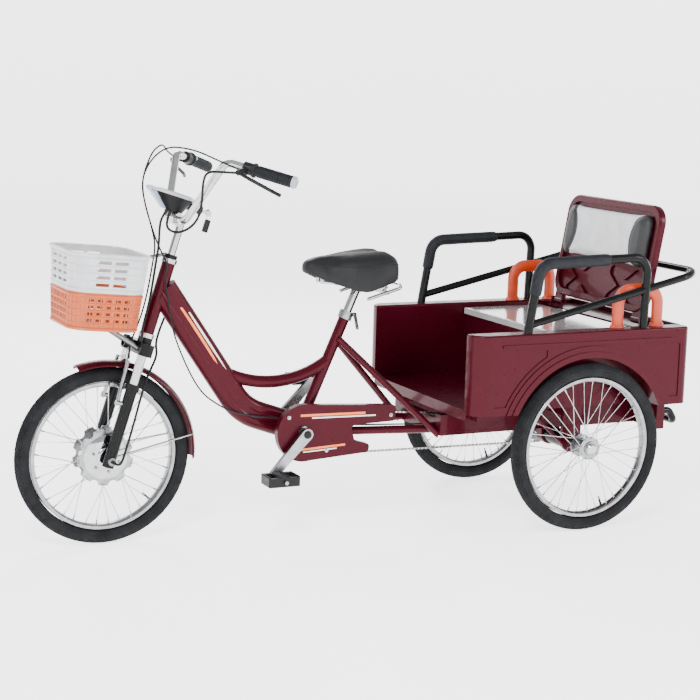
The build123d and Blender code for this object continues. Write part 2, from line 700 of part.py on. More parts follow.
def pedal(side):
    x, up = crank_tip(side)
    with BuildPart() as tread:
        with BuildSketch(Plane.XY.offset(WHEEL_RADIUS + up - 13)):
            with Locations((REAR_AXLE_X + x, side * 160)):
                RectangleRounded(96, 76, 12)
                with Locations((-28, 0), (28, 0)):
                    RectangleRounded(22, 52, 5, mode=Mode.SUBTRACT)
        extrude(amount=26)
        add(cross_rod(x, side * 110, side * 215, up, PEDAL_AXLE + RUN_CLEAR), mode=Mode.SUBTRACT)
    return tread.part


with BuildPart() as pedal_left:
    add(pedal(1))

with BuildPart() as pedal_right:
    add(pedal(-1))


def chain_loop(inset, low, high):
    """Two discs round the sprockets and the belt between them."""
    with BuildPart() as loop:
        with BuildSketch(side_plane(high)):
            with Locations(flat(CRANK_X, CRANK_UP)):
                Circle(CHAIN_FRONT + inset)
            with Locations(flat(0, 0)):
                Circle(CHAIN_REAR + inset)
            make_hull()
        extrude(amount=high - low)
    return loop.part


with BuildPart() as chain:
    add(chain_loop(CHAIN_DEPTH, CHAIN_Y - CHAIN_WIDTH / 2, CHAIN_Y + CHAIN_WIDTH / 2))
    add(chain_loop(0, CHAIN_Y - 10, CHAIN_Y + 10), mode=Mode.SUBTRACT)

COVER_RADIUS = CHAIN_FRONT + 20.0
COVER_FACE = CHAIN_Y + 14.0
COVER_DEPTH = 22.0
with BuildPart() as chain_cover:
    with BuildSketch(side_plane(COVER_FACE)) as cover_outline:
        with Locations(flat(CRANK_X, CRANK_UP)):
            Circle(COVER_RADIUS)
        with BuildLine():
            # the upper tail covers the chain's top run, the lower one the start of its return
            FilletPolyline(
                *[
                    flat(CRANK_X + ahead, CRANK_UP + up)
                    for ahead, up in (
                        (6, COVER_RADIUS - 1),
                        (-292, 66),
                        (-292, 18),
                        (-148, 14),
                        (-160, -32),
                        (-210, -46),
                        (-206, -70),
                        (-4, 1 - COVER_RADIUS),
                    )
                ],
                radius=11,
                close=True,
            )
        make_face()
    extrude(amount=COVER_DEPTH)
    with BuildSketch(side_plane(COVER_FACE - COVER_SKIN)):
        add(cover_outline.sketch_local)
        offset(amount=-COVER_SKIN, mode=Mode.REPLACE)
    extrude(amount=COVER_DEPTH, mode=Mode.SUBTRACT)
    with BuildPart(mode=Mode.SUBTRACT):
        add(chain_loop(CHAIN_DEPTH + 4, 60, CHAIN_Y + 8))
        add(chain_loop(-4, 50, CHAIN_Y + 12), mode=Mode.SUBTRACT)
    add(cross_rod(CRANK_X, 60, 100, CRANK_UP, 20), mode=Mode.SUBTRACT)
    with Locations(spot(CRANK_X - 120, (57 + COVER_FACE) / 2, CRANK_UP - 7)):
        Box(14, COVER_FACE - 57, 10)
    add(chain_stays.part, mode=Mode.SUBTRACT)

# fork
CROWN_AHEAD = RAKE - 6.0
LEG_INSET = 60.0
with BuildPart() as fork_crown:
    add(axis_rod(0, 0, CROWN_LOW + 12, HEAD_HALF + CUP_HEIGHT + 12, STEERER_RADIUS))
    add(axis_rod(0, 0, HEAD_HALF + CUP_HEIGHT + 0.5, HEAD_HALF + CUP_HEIGHT + 12, HEAD_RADIUS))
    with BuildSketch(HEAD_PLANE.offset(CROWN_LOW)):
        with Locations((CROWN_AHEAD, 0)):
            SlotOverall(2 * LEG_Y + 42, 40, rotation=90)
    extrude(amount=CROWN_THICK)
    add(axis_rod(0, 0, CROWN_LOW + 32, -HEAD_HALF - CUP_HEIGHT - 0.5, HEAD_RADIUS + 2))
    for side in SIDES:
        add(
            axis_rod(RAKE, side * LEG_Y, CROWN_LOW - 8, CROWN_LOW + 28, STANCHION_RADIUS + RUN_CLEAR),
            mode=Mode.SUBTRACT,
        )

with BuildPart() as fork_stanchions:
    for side in SIDES:
        add(axis_rod(RAKE, side * LEG_Y, LOWER_TOP - LEG_INSET, CROWN_LOW + 28, STANCHION_RADIUS))

with BuildPart() as fork_lowers:
    for side in SIDES:
        add(axis_rod(RAKE, side * LEG_Y, -HEAD_HEIGHT - 20, LOWER_TOP, LOWER_RADIUS))
        add(axis_rod(RAKE, side * LEG_Y, LOWER_TOP - 18, LOWER_TOP, LOWER_RADIUS + 3))
    for side in SIDES:
        add(
            axis_rod(RAKE, side * LEG_Y, LOWER_TOP - LEG_INSET, LOWER_TOP + 4, STANCHION_RADIUS + RUN_CLEAR),
            mode=Mode.SUBTRACT,
        )
    add(cross_rod(WHEELBASE, -100, 100, 0, AXLE_RADIUS + RUN_CLEAR), mode=Mode.SUBTRACT)

AXLE_HALF = LEG_Y + LOWER_RADIUS + 10.0
with BuildPart() as front_axle:
    add(cross_rod(WHEELBASE, -AXLE_HALF, AXLE_HALF, 0, AXLE_RADIUS))
    for side in SIDES:
        add(cross_rod(WHEELBASE, side * (LEG_Y + LOWER_RADIUS), side * (AXLE_HALF - 2), 0, 11))

FENDER_RADIUS = WHEEL_RADIUS + 20.0
FENDER_START = 17.3
FENDER_ARC = 112.0
with BuildPart() as front_fender:
    start = radians(FENDER_START)
    with BuildSketch(Plane(origin=spot(WHEELBASE, 0, 0), x_dir=(0, 1, 0), z_dir=(cos(start), 0, -sin(start)))):
        with BuildLine():
            ThreePointArc((-31, FENDER_RADIUS - 14), (0, FENDER_RADIUS), (31, FENDER_RADIUS - 14))
            Line((31, FENDER_RADIUS - 14), (28, FENDER_RADIUS - 15.5))
            ThreePointArc((28, FENDER_RADIUS - 15.5), (0, FENDER_RADIUS - 3), (-28, FENDER_RADIUS - 15.5))
            Line((-28, FENDER_RADIUS - 15.5), (-31, FENDER_RADIUS - 14))
        make_face()
    revolve(axis=Axis(spot(WHEELBASE, 0, 0), (0, -1, 0)), revolution_arc=FENDER_ARC)
    add(axis_rod(RAKE - 8, 0, FENDER_RADIUS - HEAD_HEIGHT - 2, CROWN_LOW, 9))
    for side in SIDES:
        add(rod(spot(WHEELBASE - FENDER_RADIUS + 15, side * 29, 50), spot(WHEELBASE - 8, side * 70, 8), 2.5))
    add(fork_lowers.part, mode=Mode.SUBTRACT)

# brake, horn and controls on the fork
BRAKE_AHEAD = 46.0
BRAKE_PIVOT = LOWER_TOP - LEG_INSET
BRAKE_TOP = CROWN_LOW - 24.0
PAD_UP = RIM_RADIUS - RIM_DEPTH / 2 - HEAD_HEIGHT - 2.5
PAD_GAP = 5.5
with BuildPart() as front_brake:
    for side in SIDES:
        add(
            bent_tube(
                (
                    head(BRAKE_AHEAD, side * LEG_Y, BRAKE_PIVOT - 8),
                    head(BRAKE_AHEAD, side * (LEG_Y - 11), PAD_UP),
                    head(BRAKE_AHEAD, side * (LEG_Y - 19), BRAKE_TOP),
                ),
                5.5,
                24,
            )
        )
        add(
            rod(
                head(RAKE + LOWER_RADIUS - 2, side * LEG_Y, BRAKE_PIVOT),
                head(BRAKE_AHEAD + 6, side * LEG_Y, BRAKE_PIVOT),
                6.5,
            )
        )
        add(rod(head(BRAKE_AHEAD, side * (LEG_Y - 11), PAD_UP), head(BRAKE_AHEAD, side * 24, PAD_UP), 4))
        with BuildSketch(steering_plane(BRAKE_AHEAD - 22)):
            with Locations((side * (RIM_WIDTH / 2 + PAD_GAP + 4), PAD_UP)):
                Rectangle(8, 9)
        extrude(amount=44)
    add(
        rod(
            head(BRAKE_AHEAD, LEG_Y - 19, BRAKE_TOP + 1),
            head(BRAKE_AHEAD, 19 - LEG_Y, BRAKE_TOP + 1),
            1.6,
        )
    )
    add(fork_lowers.part, mode=Mode.SUBTRACT)

HORN_UP = CROWN_LOW + 23.0
CROWN_FACE = CROWN_AHEAD + 20.0
with BuildPart() as horn:
    for start, end, radius in ((0, 5, 6), (5, 14, 15), (14, 27, 19)):
        add(rod(head(CROWN_FACE + start, 0, HORN_UP), head(CROWN_FACE + end, 0, HORN_UP), radius))
    add(rod(head(CROWN_FACE + 22, 0, HORN_UP), head(CROWN_FACE + 27, 0, HORN_UP), 15), mode=Mode.SUBTRACT)


# wheels
def wheel_section(x, y):
    """A plane through one axle: x runs along it, y is the radius."""
    return Plane(origin=spot(x, y, 0), x_dir=(0, 1, 0), z_dir=(1, 0, 0))


def turned(x, y, outline):
    """One closed outline of width and radius, turned about an axle."""
    with BuildPart() as ring:
        with BuildSketch(wheel_section(x, y)):
            with BuildLine():
                Polyline(*outline, close=True)
            make_face()
        revolve(axis=Axis(spot(x, y, 0), (0, 1, 0)))
    return ring.part


def both_ends(half):
    """An outline's left half, followed by its mirror image."""
    return (*half, *[(-width, radius) for width, radius in reversed(half)])


TYRE_HALF = (
    (1 - RIM_WIDTH / 2, RIM_RADIUS),
    (-TYRE_WIDTH / 2, WHEEL_RADIUS - 0.55 * TYRE_HEIGHT),
    (-TYRE_WIDTH / 4, WHEEL_RADIUS),
)
RIM_HALF = (
    (5 - RIM_WIDTH / 2, RIM_RADIUS - RIM_DEPTH),
    (-RIM_WIDTH / 2, RIM_RADIUS - RIM_DEPTH + 5),
    (-RIM_WIDTH / 2, RIM_RADIUS),
)
MOTOR_HALF = ((-38, 0), (-38, 30), (-33, 50), (-26, MOTOR_RADIUS))
HUB_HALF = ((-32, 0), (-32, 22), (-18, 22), (-12, 18))


def tyre(x, y):
    return turned(x, y, both_ends(TYRE_HALF))


def wheel(x, y, hub_half, flange, flange_y, scallop, bore):
    """Rim, crossed spokes, hub shell and its two spoke flanges, as laced together."""
    with BuildPart() as laced:
        add(turned(x, y, both_ends(RIM_HALF)))
        add(turned(x, y, both_ends(hub_half)))
        for side in SIDES:
            with BuildSketch(side_plane(y + side * flange_y + FLANGE_THICK / 2)):
                with Locations(flat(x, 0)):
                    Circle(flange)
                    with PolarLocations(flange + 3, SPOKES_PER_SIDE // 2, start_angle=10 + 5 * side):
                        Circle(scallop, mode=Mode.SUBTRACT)
            extrude(amount=FLANGE_THICK)
            for count in range(SPOKES_PER_SIDE):
                angle = 360 / SPOKES_PER_SIDE * (count + 0.25 * side)
                lean = (1020 if count % 2 else -1020) / flange
                foot, nipple = radians(angle + lean), radians(angle)
                low, high = flange - 3, RIM_RADIUS - RIM_DEPTH + 2
                start = spot(x + low * cos(foot), y + side * flange_y, low * sin(foot))
                end = spot(x + high * cos(nipple), y + side * 3, high * sin(nipple))
                with BuildSketch(Plane(origin=start, z_dir=end - start)):
                    RegularPolygon(SPOKE_RADIUS, 4)
            extrude(amount=(end - start).length)
        add(cross_rod(x, y - 100, y + 100, 0, bore), mode=Mode.SUBTRACT)
    return laced.part


def half_shaft(side):
    with BuildPart() as shaft:
        add(cross_rod(0, side * 20, side * (HALF_TRACK + 36), 0, SHAFT_RADIUS))
        add(cross_rod(0, side * (HALF_TRACK + 32), side * (HALF_TRACK + 42), 0, SHAFT_RADIUS + 3.5))
    return shaft.part


with BuildPart() as front_tyre:
    add(tyre(WHEELBASE, 0))

with BuildPart() as front_wheel:
    add(wheel(WHEELBASE, 0, MOTOR_HALF, MOTOR_FLANGE, 26, 14, AXLE_RADIUS + RUN_CLEAR))

with BuildPart() as rear_left_tyre:
    add(tyre(0, HALF_TRACK))

with BuildPart() as rear_right_tyre:
    add(tyre(0, -HALF_TRACK))

with BuildPart() as rear_left_wheel:
    add(wheel(0, HALF_TRACK, HUB_HALF, 34, 24, 6, SHAFT_RADIUS - 1))
    add(half_shaft(1))
    add(cross_rod(0, CHAIN_Y - 2, CHAIN_Y + 2, 0, CHAIN_REAR - 1))

with BuildPart() as rear_right_wheel:
    add(wheel(0, -HALF_TRACK, HUB_HALF, 34, 24, 6, SHAFT_RADIUS - 1))
    add(half_shaft(-1))


# handlebar and controls
def mirrored(point, side):
    ahead, left, up = point
    return head(ahead, side * left, up)


CLAMP_AHEAD, _, CLAMP_UP = BAR_LOW
with BuildPart() as handlebar:
    left_points = [mirrored(point, 1) for point in (BAR_GRIP_END, BAR_BEND, BAR_LOW)]
    right_points = [mirrored(point, -1) for point in (BAR_LOW, BAR_BEND, BAR_GRIP_END)]
    add(bent_tube((*left_points, *right_points), BAR_RADIUS, 28))

CLAMP_HALF = 24.0
with BuildPart() as handlebar_stem:
    add(axis_rod(0, 0, HEAD_HALF + CUP_HEIGHT + 12, CLAMP_UP - 6, BAR_RADIUS + 0.5))
    add(rod(head(CLAMP_AHEAD, -CLAMP_HALF, CLAMP_UP), head(CLAMP_AHEAD, CLAMP_HALF, CLAMP_UP), BAR_RADIUS + 7))
    add(
        rod(head(CLAMP_AHEAD, -CLAMP_HALF - 5, CLAMP_UP), head(CLAMP_AHEAD, CLAMP_HALF + 5, CLAMP_UP), BAR_RADIUS),
        mode=Mode.SUBTRACT,
    )


def along_grip(side, along, out, drop):
    """A point beside one grip: along it from the bar's end, out ahead of it and down from it."""
    end = mirrored(BAR_GRIP_END, side)
    way = (mirrored(BAR_BEND, side) - end).normalized()
    return end + way * along + Vector(out, side * out * 0.9, -drop)


with BuildPart() as grips:
    for side in SIDES:
        add(rod(along_grip(side, -4, 0, 0), along_grip(side, GRIP_LENGTH, 0, 0), GRIP_RADIUS))
    add(handlebar.part, mode=Mode.SUBTRACT)

PERCH = GRIP_LENGTH + 15.0
with BuildPart() as brake_levers:
    for side in SIDES:
        add(rod(along_grip(side, PERCH - 13, 0, 0), along_grip(side, PERCH + 13, 0, 0), GRIP_RADIUS + 1))
        add(rod(along_grip(side, PERCH, 0, 0), along_grip(side, PERCH + 9, 34, 11), 8))
        add(
            bent_tube(
                (
                    along_grip(side, PERCH + 12, 31, 10),
                    along_grip(side, PERCH - 25, 40, 16),
                    along_grip(side, 44, 42, 30),
                    along_grip(side, 14, 50, 33),
                ),
                5,
                24,
            )
        )
    add(handlebar.part, mode=Mode.SUBTRACT)

# lamp pod over the clamp; a slanted cut parts its lens from its body
POD_TOP = 282.0
POD_LOW = 242.0
with BuildPart() as pod_body:
    for up, ahead, length, width, corner in ((POD_LOW, 40, 62, 56, 24), (POD_TOP, 56, 132, 112, 50)):
        with BuildSketch(HEAD_PLANE.offset(up)):
            with Locations((ahead, 0)):
                RectangleRounded(length, width, corner)
    loft()

LENS_PLANE = Plane(origin=head(110, 0, POD_TOP), z_dir=head(4, 0, -4.8) - head(0, 0, 0))
with BuildPart() as lamp_lens:
    add(pod_body.part)
    split(bisect_by=LENS_PLANE, keep=Keep.TOP)

with BuildPart() as lamp_pod:
    add(pod_body.part)
    split(bisect_by=LENS_PLANE, keep=Keep.BOTTOM)
    add(axis_rod(26, 0, CLAMP_UP + 14, POD_LOW + 4, 9))
    # ignition barrel behind the pod
    add(rod(head(10, 0, POD_TOP - 13), head(-40, 0, POD_TOP - 15), 11))
    add(rod(head(-40, 0, POD_TOP - 15), head(-46, 0, POD_TOP - 15.2), 13))
    add(handlebar_stem.part, mode=Mode.SUBTRACT)

# basket, drawn on its tilted floor
BASKET_PLANE = Plane(
    origin=head(BASKET_AHEAD, 0, BASKET_UP),
    x_dir=(cos(radians(BASKET_TILT)), 0, sin(radians(BASKET_TILT))),
    z_dir=(-sin(radians(BASKET_TILT)), 0, cos(radians(BASKET_TILT))),
)
BASKET_FRONT = Plane(origin=BASKET_PLANE.origin, x_dir=(0, 1, 0), z_dir=BASKET_PLANE.x_dir)
BASKET_SIDE = Plane(origin=BASKET_PLANE.origin, x_dir=BASKET_PLANE.x_dir, z_dir=(0, -1, 0))


def basket_size(height):
    grow = BASKET_FLARE * height / BASKET_HEIGHT
    return BASKET_DEPTH + grow, BASKET_WIDTH + grow * 1.2


def basket_shell(low, high, floor):
    with BuildPart() as shell:
        for shrink, base in ((0, low), (BASKET_SKIN, low + floor)):
            for height in (base, high):
                depth, width = basket_size(height)
                with BuildSketch(BASKET_PLANE.offset(height)):
                    RectangleRounded(depth - 2 * shrink, width - 2 * shrink, BASKET_CORNER - shrink)
            loft(ruled=True, mode=Mode.SUBTRACT if shrink else Mode.ADD)
    return shell.part


def lattice(shell, middle, rows, row_pitch, slot, columns):
    """A shell with rows of slots through its four walls."""
    with BuildPart() as woven:
        add(shell)
        for plane, count in ((BASKET_FRONT, columns), (BASKET_SIDE, columns - 1)):
            with BuildSketch(plane):
                with Locations((0, middle)):
                    with GridLocations(slot[0] + 10, row_pitch, count, rows):
                        Rectangle(*slot)
            extrude(amount=BASKET_WIDTH, both=True, mode=Mode.SUBTRACT)
    return woven.part


with BuildPart() as basket_lower:
    add(lattice(basket_shell(0, BASKET_SPLIT, BASKET_SKIN), 56, 4, 18, (15, 8), 6))

with BuildPart() as basket_upper:
    add(lattice(basket_shell(BASKET_SPLIT, BASKET_HEIGHT, 0), 156, 4, 20, (38, 9), 3))

BRACKET_HIGH = 190.0
with BuildPart() as basket_bracket:
    with BuildSketch(BASKET_PLANE.offset(-4)):
        RectangleRounded(150, 96, 12)
    extrude(amount=4)
    for side in SIDES:
        add(rod(head(RAKE + 10, side * 46, HORN_UP - 7), BASKET_PLANE.from_local_coords(Vector(-40, side * 38, -5)), 6))
    back = -basket_size(BRACKET_HIGH)[0] / 2
    add(
        rod(
            head(RAKE - 4, 0, HEAD_HALF + CUP_HEIGHT + 10),
            BASKET_PLANE.from_local_coords(Vector(back + 2, 0, BRACKET_HIGH)),
            5,
        )
    )
    add(fork_crown.part, mode=Mode.SUBTRACT)
    add(basket_lower.part, mode=Mode.SUBTRACT)
    add(basket_upper.part, mode=Mode.SUBTRACT)

# cables, as points ahead of the steering axis, left of it and up it; those that cross the steering are in two
# halves, which meet end to end where they run along the steering axis
SPLIT_UP = 76.0
REAR_BRAKE_UPPER = (
    (30, 215, 402),
    (61, 140, 413),
    (85, 70, 413),
    (105, 10, 405),
    (122, -25, 374),
    (135, -30, 327),
    (134, -20, 282),
    (116, 0, 237),
    (88, 20, 185),
    (55, 32, 138),
    (20, 34, 104),
    (13, 32.5, 90),
    (13, 32.5, SPLIT_UP + 0.3),
)
REAR_BRAKE_LOWER = (
    (13, 32.5, SPLIT_UP - 0.3),
    (13, 32.5, 62),
    (-39, 30, -35),
    (-69, 30, -90),
    (-139, 27, -169),
    (-188, 27, -213),
    (-231, 27, -235),
    (-317, 27, -255),
)
FRONT_BRAKE = (
    (30, -205, 404),
    (66, -130, 412),
    (96, -80, 410),
    (119, -65, 382),
    (127, -55, 322),
    (124, -45, 283),
    (103, -35, 235),
    (71, -25, 185),
    (44, -22, 138),
    (42, -8, 90),
    (38, 10, 10),
    (38, 18, -50),
    (44, 26, -100),
    (50, 30, -140),
    (47, 40, -172),
    (46, 44, -181),
)
LAMP_LOOM = (
    (56, 15, POD_LOW + 1),
    (66, 17, 215),
    (63, 20, 186),
    (50, 19, 142),
    (47, 24, 106),
    (36, 34, 10),
    (33, 37, -34),
    (34, 44, -91),
    (27, 45, -110),
    (26, 44, CROWN_LOW + CROWN_THICK + 0.3),
)
LEVER_LEAD = (
    (10, 228, 378),
    (46, 190, 367),
    (38, 170, 333),
    (18, 150, 293),
    (2, 125, 250),
    (4, 100, 215),
    (24, 75, 189),
    (47, 50, 187),
    (56, 35, 207),
    (48, 20, POD_LOW + 1),
)
MOTOR_LEAD_UPPER = ((-42, -12, -32), (-44, -30, -76), (-44, -30, -104.6))
MOTOR_LEAD_LOWER = (
    (-44, -30, -105.2),
    (-44, -30, -124),
    (-52, -16, -150),
    (-46, 0, -173),
    (-39, 12, -186),
    (-23, 42, -216),
    (-6, 84, -262),
    (-9, 86, -353),
    (-9, 88, -424),
    (-4, 100, -452),
    (5, 112, -HEAD_HEIGHT),
    (RAKE, 112, -HEAD_HEIGHT),
    (RAKE, AXLE_HALF + 0.4, -HEAD_HEIGHT),
)
SLEEVE = 2.5
LEAD = 3.5


def from_head(points):
    return [head(*point) for point in points]


with BuildPart() as steering_cables:
    add(cable([along_grip(1, PERCH + 5, 20, 6), *from_head(REAR_BRAKE_UPPER)], SLEEVE))
    add(cable([along_grip(-1, PERCH + 5, 20, 6), *from_head(FRONT_BRAKE)], SLEEVE))
    add(cable([along_grip(1, PERCH, 8, 12), *from_head(LEVER_LEAD)], LEAD))
    add(cable(from_head(LAMP_LOOM), LEAD))
    add(cable(from_head(MOTOR_LEAD_LOWER), LEAD))
    for piece in (brake_levers, lamp_pod, horn, front_brake):
        add(piece.part, mode=Mode.SUBTRACT)

with BuildPart() as frame_cables:
    along_stay = [
        spot(CRANK_X + 56, 33, CRANK_UP + 36),
        spot(CRANK_X, 36, CRANK_UP + 29),
        spot(CRANK_X - 53, 46, CRANK_UP + 9),
        spot(RAIL_FRONT + 0.3, 98, RAIL_LOW + 28),
    ]
    add(cable([*from_head(REAR_BRAKE_LOWER), *along_stay], SLEEVE))
    add(cable(from_head(MOTOR_LEAD_UPPER), LEAD))
    add(main_beam.part, mode=Mode.SUBTRACT)

os.makedirs("parts", exist_ok=True)
NODES = {
    "head_tube": head_tube,
    "headset_cups": headset_cups,
    "main_beam": main_beam,
    "seat_tube": seat_tube,
    "step_tube": step_tube,
    "stay_bridge": stay_bridge,
    "chain_stays": chain_stays,
    "seat_stays": seat_stays,
    "seat_clamp": seat_clamp,
    "chassis_rails": chassis_rails,
    "chassis_bearers": chassis_bearers,
    "axle_hangers": axle_hangers,
    "axle_tubes": axle_tubes,
    "box_floor": box_floor,
    "side_wall_left": side_wall_left,
    "side_wall_right": side_wall_right,
    "rear_panel": rear_panel,
    "bench_front": bench_front,
    "battery_box": battery_box,
    "rear_shelf": rear_shelf,
    "seat_lid": seat_lid,
    "backrest_panel": backrest_panel,
    "backrest_cushion": backrest_cushion,
    "guard_rail": guard_rail,
    "armrest_left": armrest_left,
    "armrest_right": armrest_right,
    "armrest_pads": armrest_pads,
    "hand_loops": hand_loops,
    "rear_bumper": rear_bumper,
    "seat_post": seat_post,
    "saddle": saddle,
    "crankset": crankset,
    "pedal_left": pedal_left,
    "pedal_right": pedal_right,
    "chain": chain,
    "chain_cover": chain_cover,
    "fork_crown": fork_crown,
    "fork_stanchions": fork_stanchions,
    "fork_lowers": fork_lowers,
    "front_axle": front_axle,
    "front_fender": front_fender,
    "front_brake": front_brake,
    "horn": horn,
    "front_tyre": front_tyre,
    "front_wheel": front_wheel,
    "rear_left_tyre": rear_left_tyre,
    "rear_right_tyre": rear_right_tyre,
    "rear_left_wheel": rear_left_wheel,
    "rear_right_wheel": rear_right_wheel,
    "handlebar_stem": handlebar_stem,
    "handlebar": handlebar,
    "grips": grips,
    "brake_levers": brake_levers,
    "lamp_pod": lamp_pod,
    "lamp_lens": lamp_lens,
    "basket_lower": basket_lower,
    "basket_upper": basket_upper,
    "basket_bracket": basket_bracket,
    "steering_cables": steering_cables,
    "frame_cables": frame_cables,
}
for node, piece in NODES.items():
    piece.part.label = node
    export_step(piece.part, "parts/" + node + ".step")
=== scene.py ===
"""Electric tricycle: finishes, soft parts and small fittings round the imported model, in metres."""
import json
from math import acos, atan2, cos, degrees, exp, hypot, pi, radians, sin, sqrt, tau

import bmesh
import bpy
from mathutils import Matrix, Vector


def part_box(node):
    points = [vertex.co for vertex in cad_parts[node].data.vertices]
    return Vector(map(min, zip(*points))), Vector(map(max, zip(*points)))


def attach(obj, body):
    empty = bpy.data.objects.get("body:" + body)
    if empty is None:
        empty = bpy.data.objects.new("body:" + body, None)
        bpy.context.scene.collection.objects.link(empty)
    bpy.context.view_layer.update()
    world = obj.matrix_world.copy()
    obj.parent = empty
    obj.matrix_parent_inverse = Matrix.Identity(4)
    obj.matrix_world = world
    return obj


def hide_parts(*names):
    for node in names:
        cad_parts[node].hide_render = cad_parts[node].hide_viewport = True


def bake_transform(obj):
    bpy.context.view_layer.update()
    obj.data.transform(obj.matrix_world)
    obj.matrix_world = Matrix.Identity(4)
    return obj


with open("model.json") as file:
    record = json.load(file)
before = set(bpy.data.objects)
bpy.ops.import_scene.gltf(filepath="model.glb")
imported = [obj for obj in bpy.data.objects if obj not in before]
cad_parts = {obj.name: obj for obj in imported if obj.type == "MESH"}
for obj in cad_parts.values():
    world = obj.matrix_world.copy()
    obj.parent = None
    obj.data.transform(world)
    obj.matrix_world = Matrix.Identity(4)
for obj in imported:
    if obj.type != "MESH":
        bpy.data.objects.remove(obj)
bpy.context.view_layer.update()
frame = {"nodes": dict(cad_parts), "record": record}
NODES = frame["nodes"]
MM = 0.001
SIDES = (1, -1)
SIDE_NAMES = {1: "left", -1: "right"}


def middle(node):
    low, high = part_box(node)
    return (low + high) / 2


REAR_AXLE = Vector((middle("rear_left_tyre").x, 0.0, middle("rear_left_tyre").z))
FRONT_AXLE = middle("front_tyre")
HALF_TRACK = middle("rear_left_tyre").y
RIM_RADIUS = (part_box("front_wheel")[1].z - FRONT_AXLE.z) / MM

# the steering axis, as the solids have it
CASTER = radians(17.5)
RAKE = 18.5
HEAD_HEIGHT = 463.5
AHEAD = Vector((cos(CASTER), 0.0, sin(CASTER)))
UP_AXIS = Vector((-sin(CASTER), 0.0, cos(CASTER)))
LEFT = Vector((0.0, 1.0, 0.0))
HEAD_MIDDLE = FRONT_AXLE + (UP_AXIS * HEAD_HEIGHT - AHEAD * RAKE) * MM


def spot(x, y, z):
    """A point in millimetres from the ground under the rear axle."""
    return Vector((REAR_AXLE.x + x * MM, y * MM, z * MM))


def head(ahead, left, up):
    """A point in millimetres from the head tube's middle: ahead of the steering axis, left of it, up it."""
    return HEAD_MIDDLE + (AHEAD * ahead + LEFT * left + UP_AXIS * up) * MM


# materials


class Finish:
    """A node material with one main shader and short ways to vary it over the surface."""

    def __init__(self, name, color, roughness, metallic=0.0):
        self.material = bpy.data.materials.new(name)
        self.material.use_nodes = True
        self.tree = self.material.node_tree
        self.shader = self.tree.nodes["Principled BSDF"]
        self.set("Base Color", (*color, 1.0))
        self.set("Roughness", roughness)
        self.set("Metallic", metallic)
        self.place = self.tree.nodes.new("ShaderNodeTexCoord").outputs["Object"]

    def set(self, socket, value):
        self.shader.inputs[socket].default_value = value
        return self

    def link(self, source, target):
        self.tree.links.new(source, target)

    def node(self, kind, **inputs):
        made = self.tree.nodes.new("ShaderNode" + kind)
        for key, value in inputs.items():
            self.feed(made.inputs[key.replace("_", " ")], value)
        return made

    def feed(self, socket, value):
        if hasattr(value, "is_linked"):
            self.link(value, socket)
        else:
            socket.default_value = value

    def math(self, operation, first, second=0.0):
        made = self.tree.nodes.new("ShaderNodeMath")
        made.operation = operation
        self.feed(made.inputs[0], first)
        self.feed(made.inputs[1], second)
        return made.outputs["Value"]

    def noise(self, scale, detail=3.0, roughness=0.55):
        made = self.node("TexNoise", Vector=self.place, Scale=scale, Detail=detail, Roughness=roughness)
        return made.outputs["Fac"]

    def ramp(self, factor, low, high, start=0.35, end=0.65):
        """Two colours or greys, blended over part of a factor's range."""
        made = self.node("ValToRGB", Fac=factor)
        for element, position, value in zip(made.color_ramp.elements, (start, end), (low, high)):
            element.position = position
            element.color = (*value, 1.0) if hasattr(value, "__len__") else (value, value, value, 1.0)
        return made.outputs["Color"]

    def vary_color(self, scale, low, high, detail=3.0):
        self.link(self.ramp(self.noise(scale, detail), low, high), self.shader.inputs["Base Color"])
        return self

    def vary_roughness(self, scale, low, high, detail=4.0):
        self.link(self.ramp(self.noise(scale, detail), low, high, 0.3, 0.7), self.shader.inputs["Roughness"])
        return self

    def bump(self, height, strength, distance):
        made = self.node("Bump", Strength=strength, Distance=distance, Height=height)
        old = self.shader.inputs["Normal"]
        if old.is_linked:
            self.link(old.links[0].from_socket, made.inputs["Normal"])
        self.link(made.outputs["Normal"], old)
        return self

    def shine(self, level):
        return self.set("Specular IOR Level", level)

    def coat(self, weight, roughness):
        return self.set("Coat Weight", weight).set("Coat Roughness", roughness)


def wine_paint():
    made = Finish("wine_paint", (0.05, 0.0015, 0.005), 0.3, 0.25)
    made.vary_color(2600.0, (0.032, 0.0005, 0.0035), (0.058, 0.0012, 0.0075), 1.0)
    made.vary_roughness(38.0, 0.26, 0.38)
    made.bump(made.noise(240.0, 2.0), 0.02, 0.0008)
    return made.shine(0.08).coat(0.12, 0.03).material


def black_gloss():
    made = Finish("black_gloss", (0.003, 0.0031, 0.0034), 0.22)
    made.vary_roughness(60.0, 0.16, 0.28)
    made.bump(made.noise(420.0, 2.0), 0.03, 0.0006)
    return made.shine(0.1).coat(0.08, 0.04).material


def metal(name, low, high, roughness, spread):
    made = Finish(name, low, roughness, 1.0)
    made.vary_color(40.0, low, high)
    made.vary_roughness(110.0, roughness - spread, roughness + spread)
    return made.material


def tyre_rubber():
    made = Finish("tyre_rubber", (0.008, 0.0083, 0.0095), 0.72)
    made.vary_color(26.0, (0.006, 0.0063, 0.0072), (0.011, 0.0115, 0.013))
    made.bump(made.noise(900.0, 2.0), 0.12, 0.0006)
    return made.shine(0.12).material


def rubber(name, low, high):
    made = Finish(name, low, 0.55)
    made.vary_color(80.0, low, high)
    made.bump(made.noise(1400.0, 2.0), 0.15, 0.0004)
    return made.shine(0.16).material


def black_plastic():
    made = Finish("black_plastic", (0.005, 0.0052, 0.006), 0.42)
    made.vary_roughness(90.0, 0.34, 0.5)
    made.bump(made.noise(1100.0, 2.0), 0.08, 0.0004)
    return made.shine(0.2).material


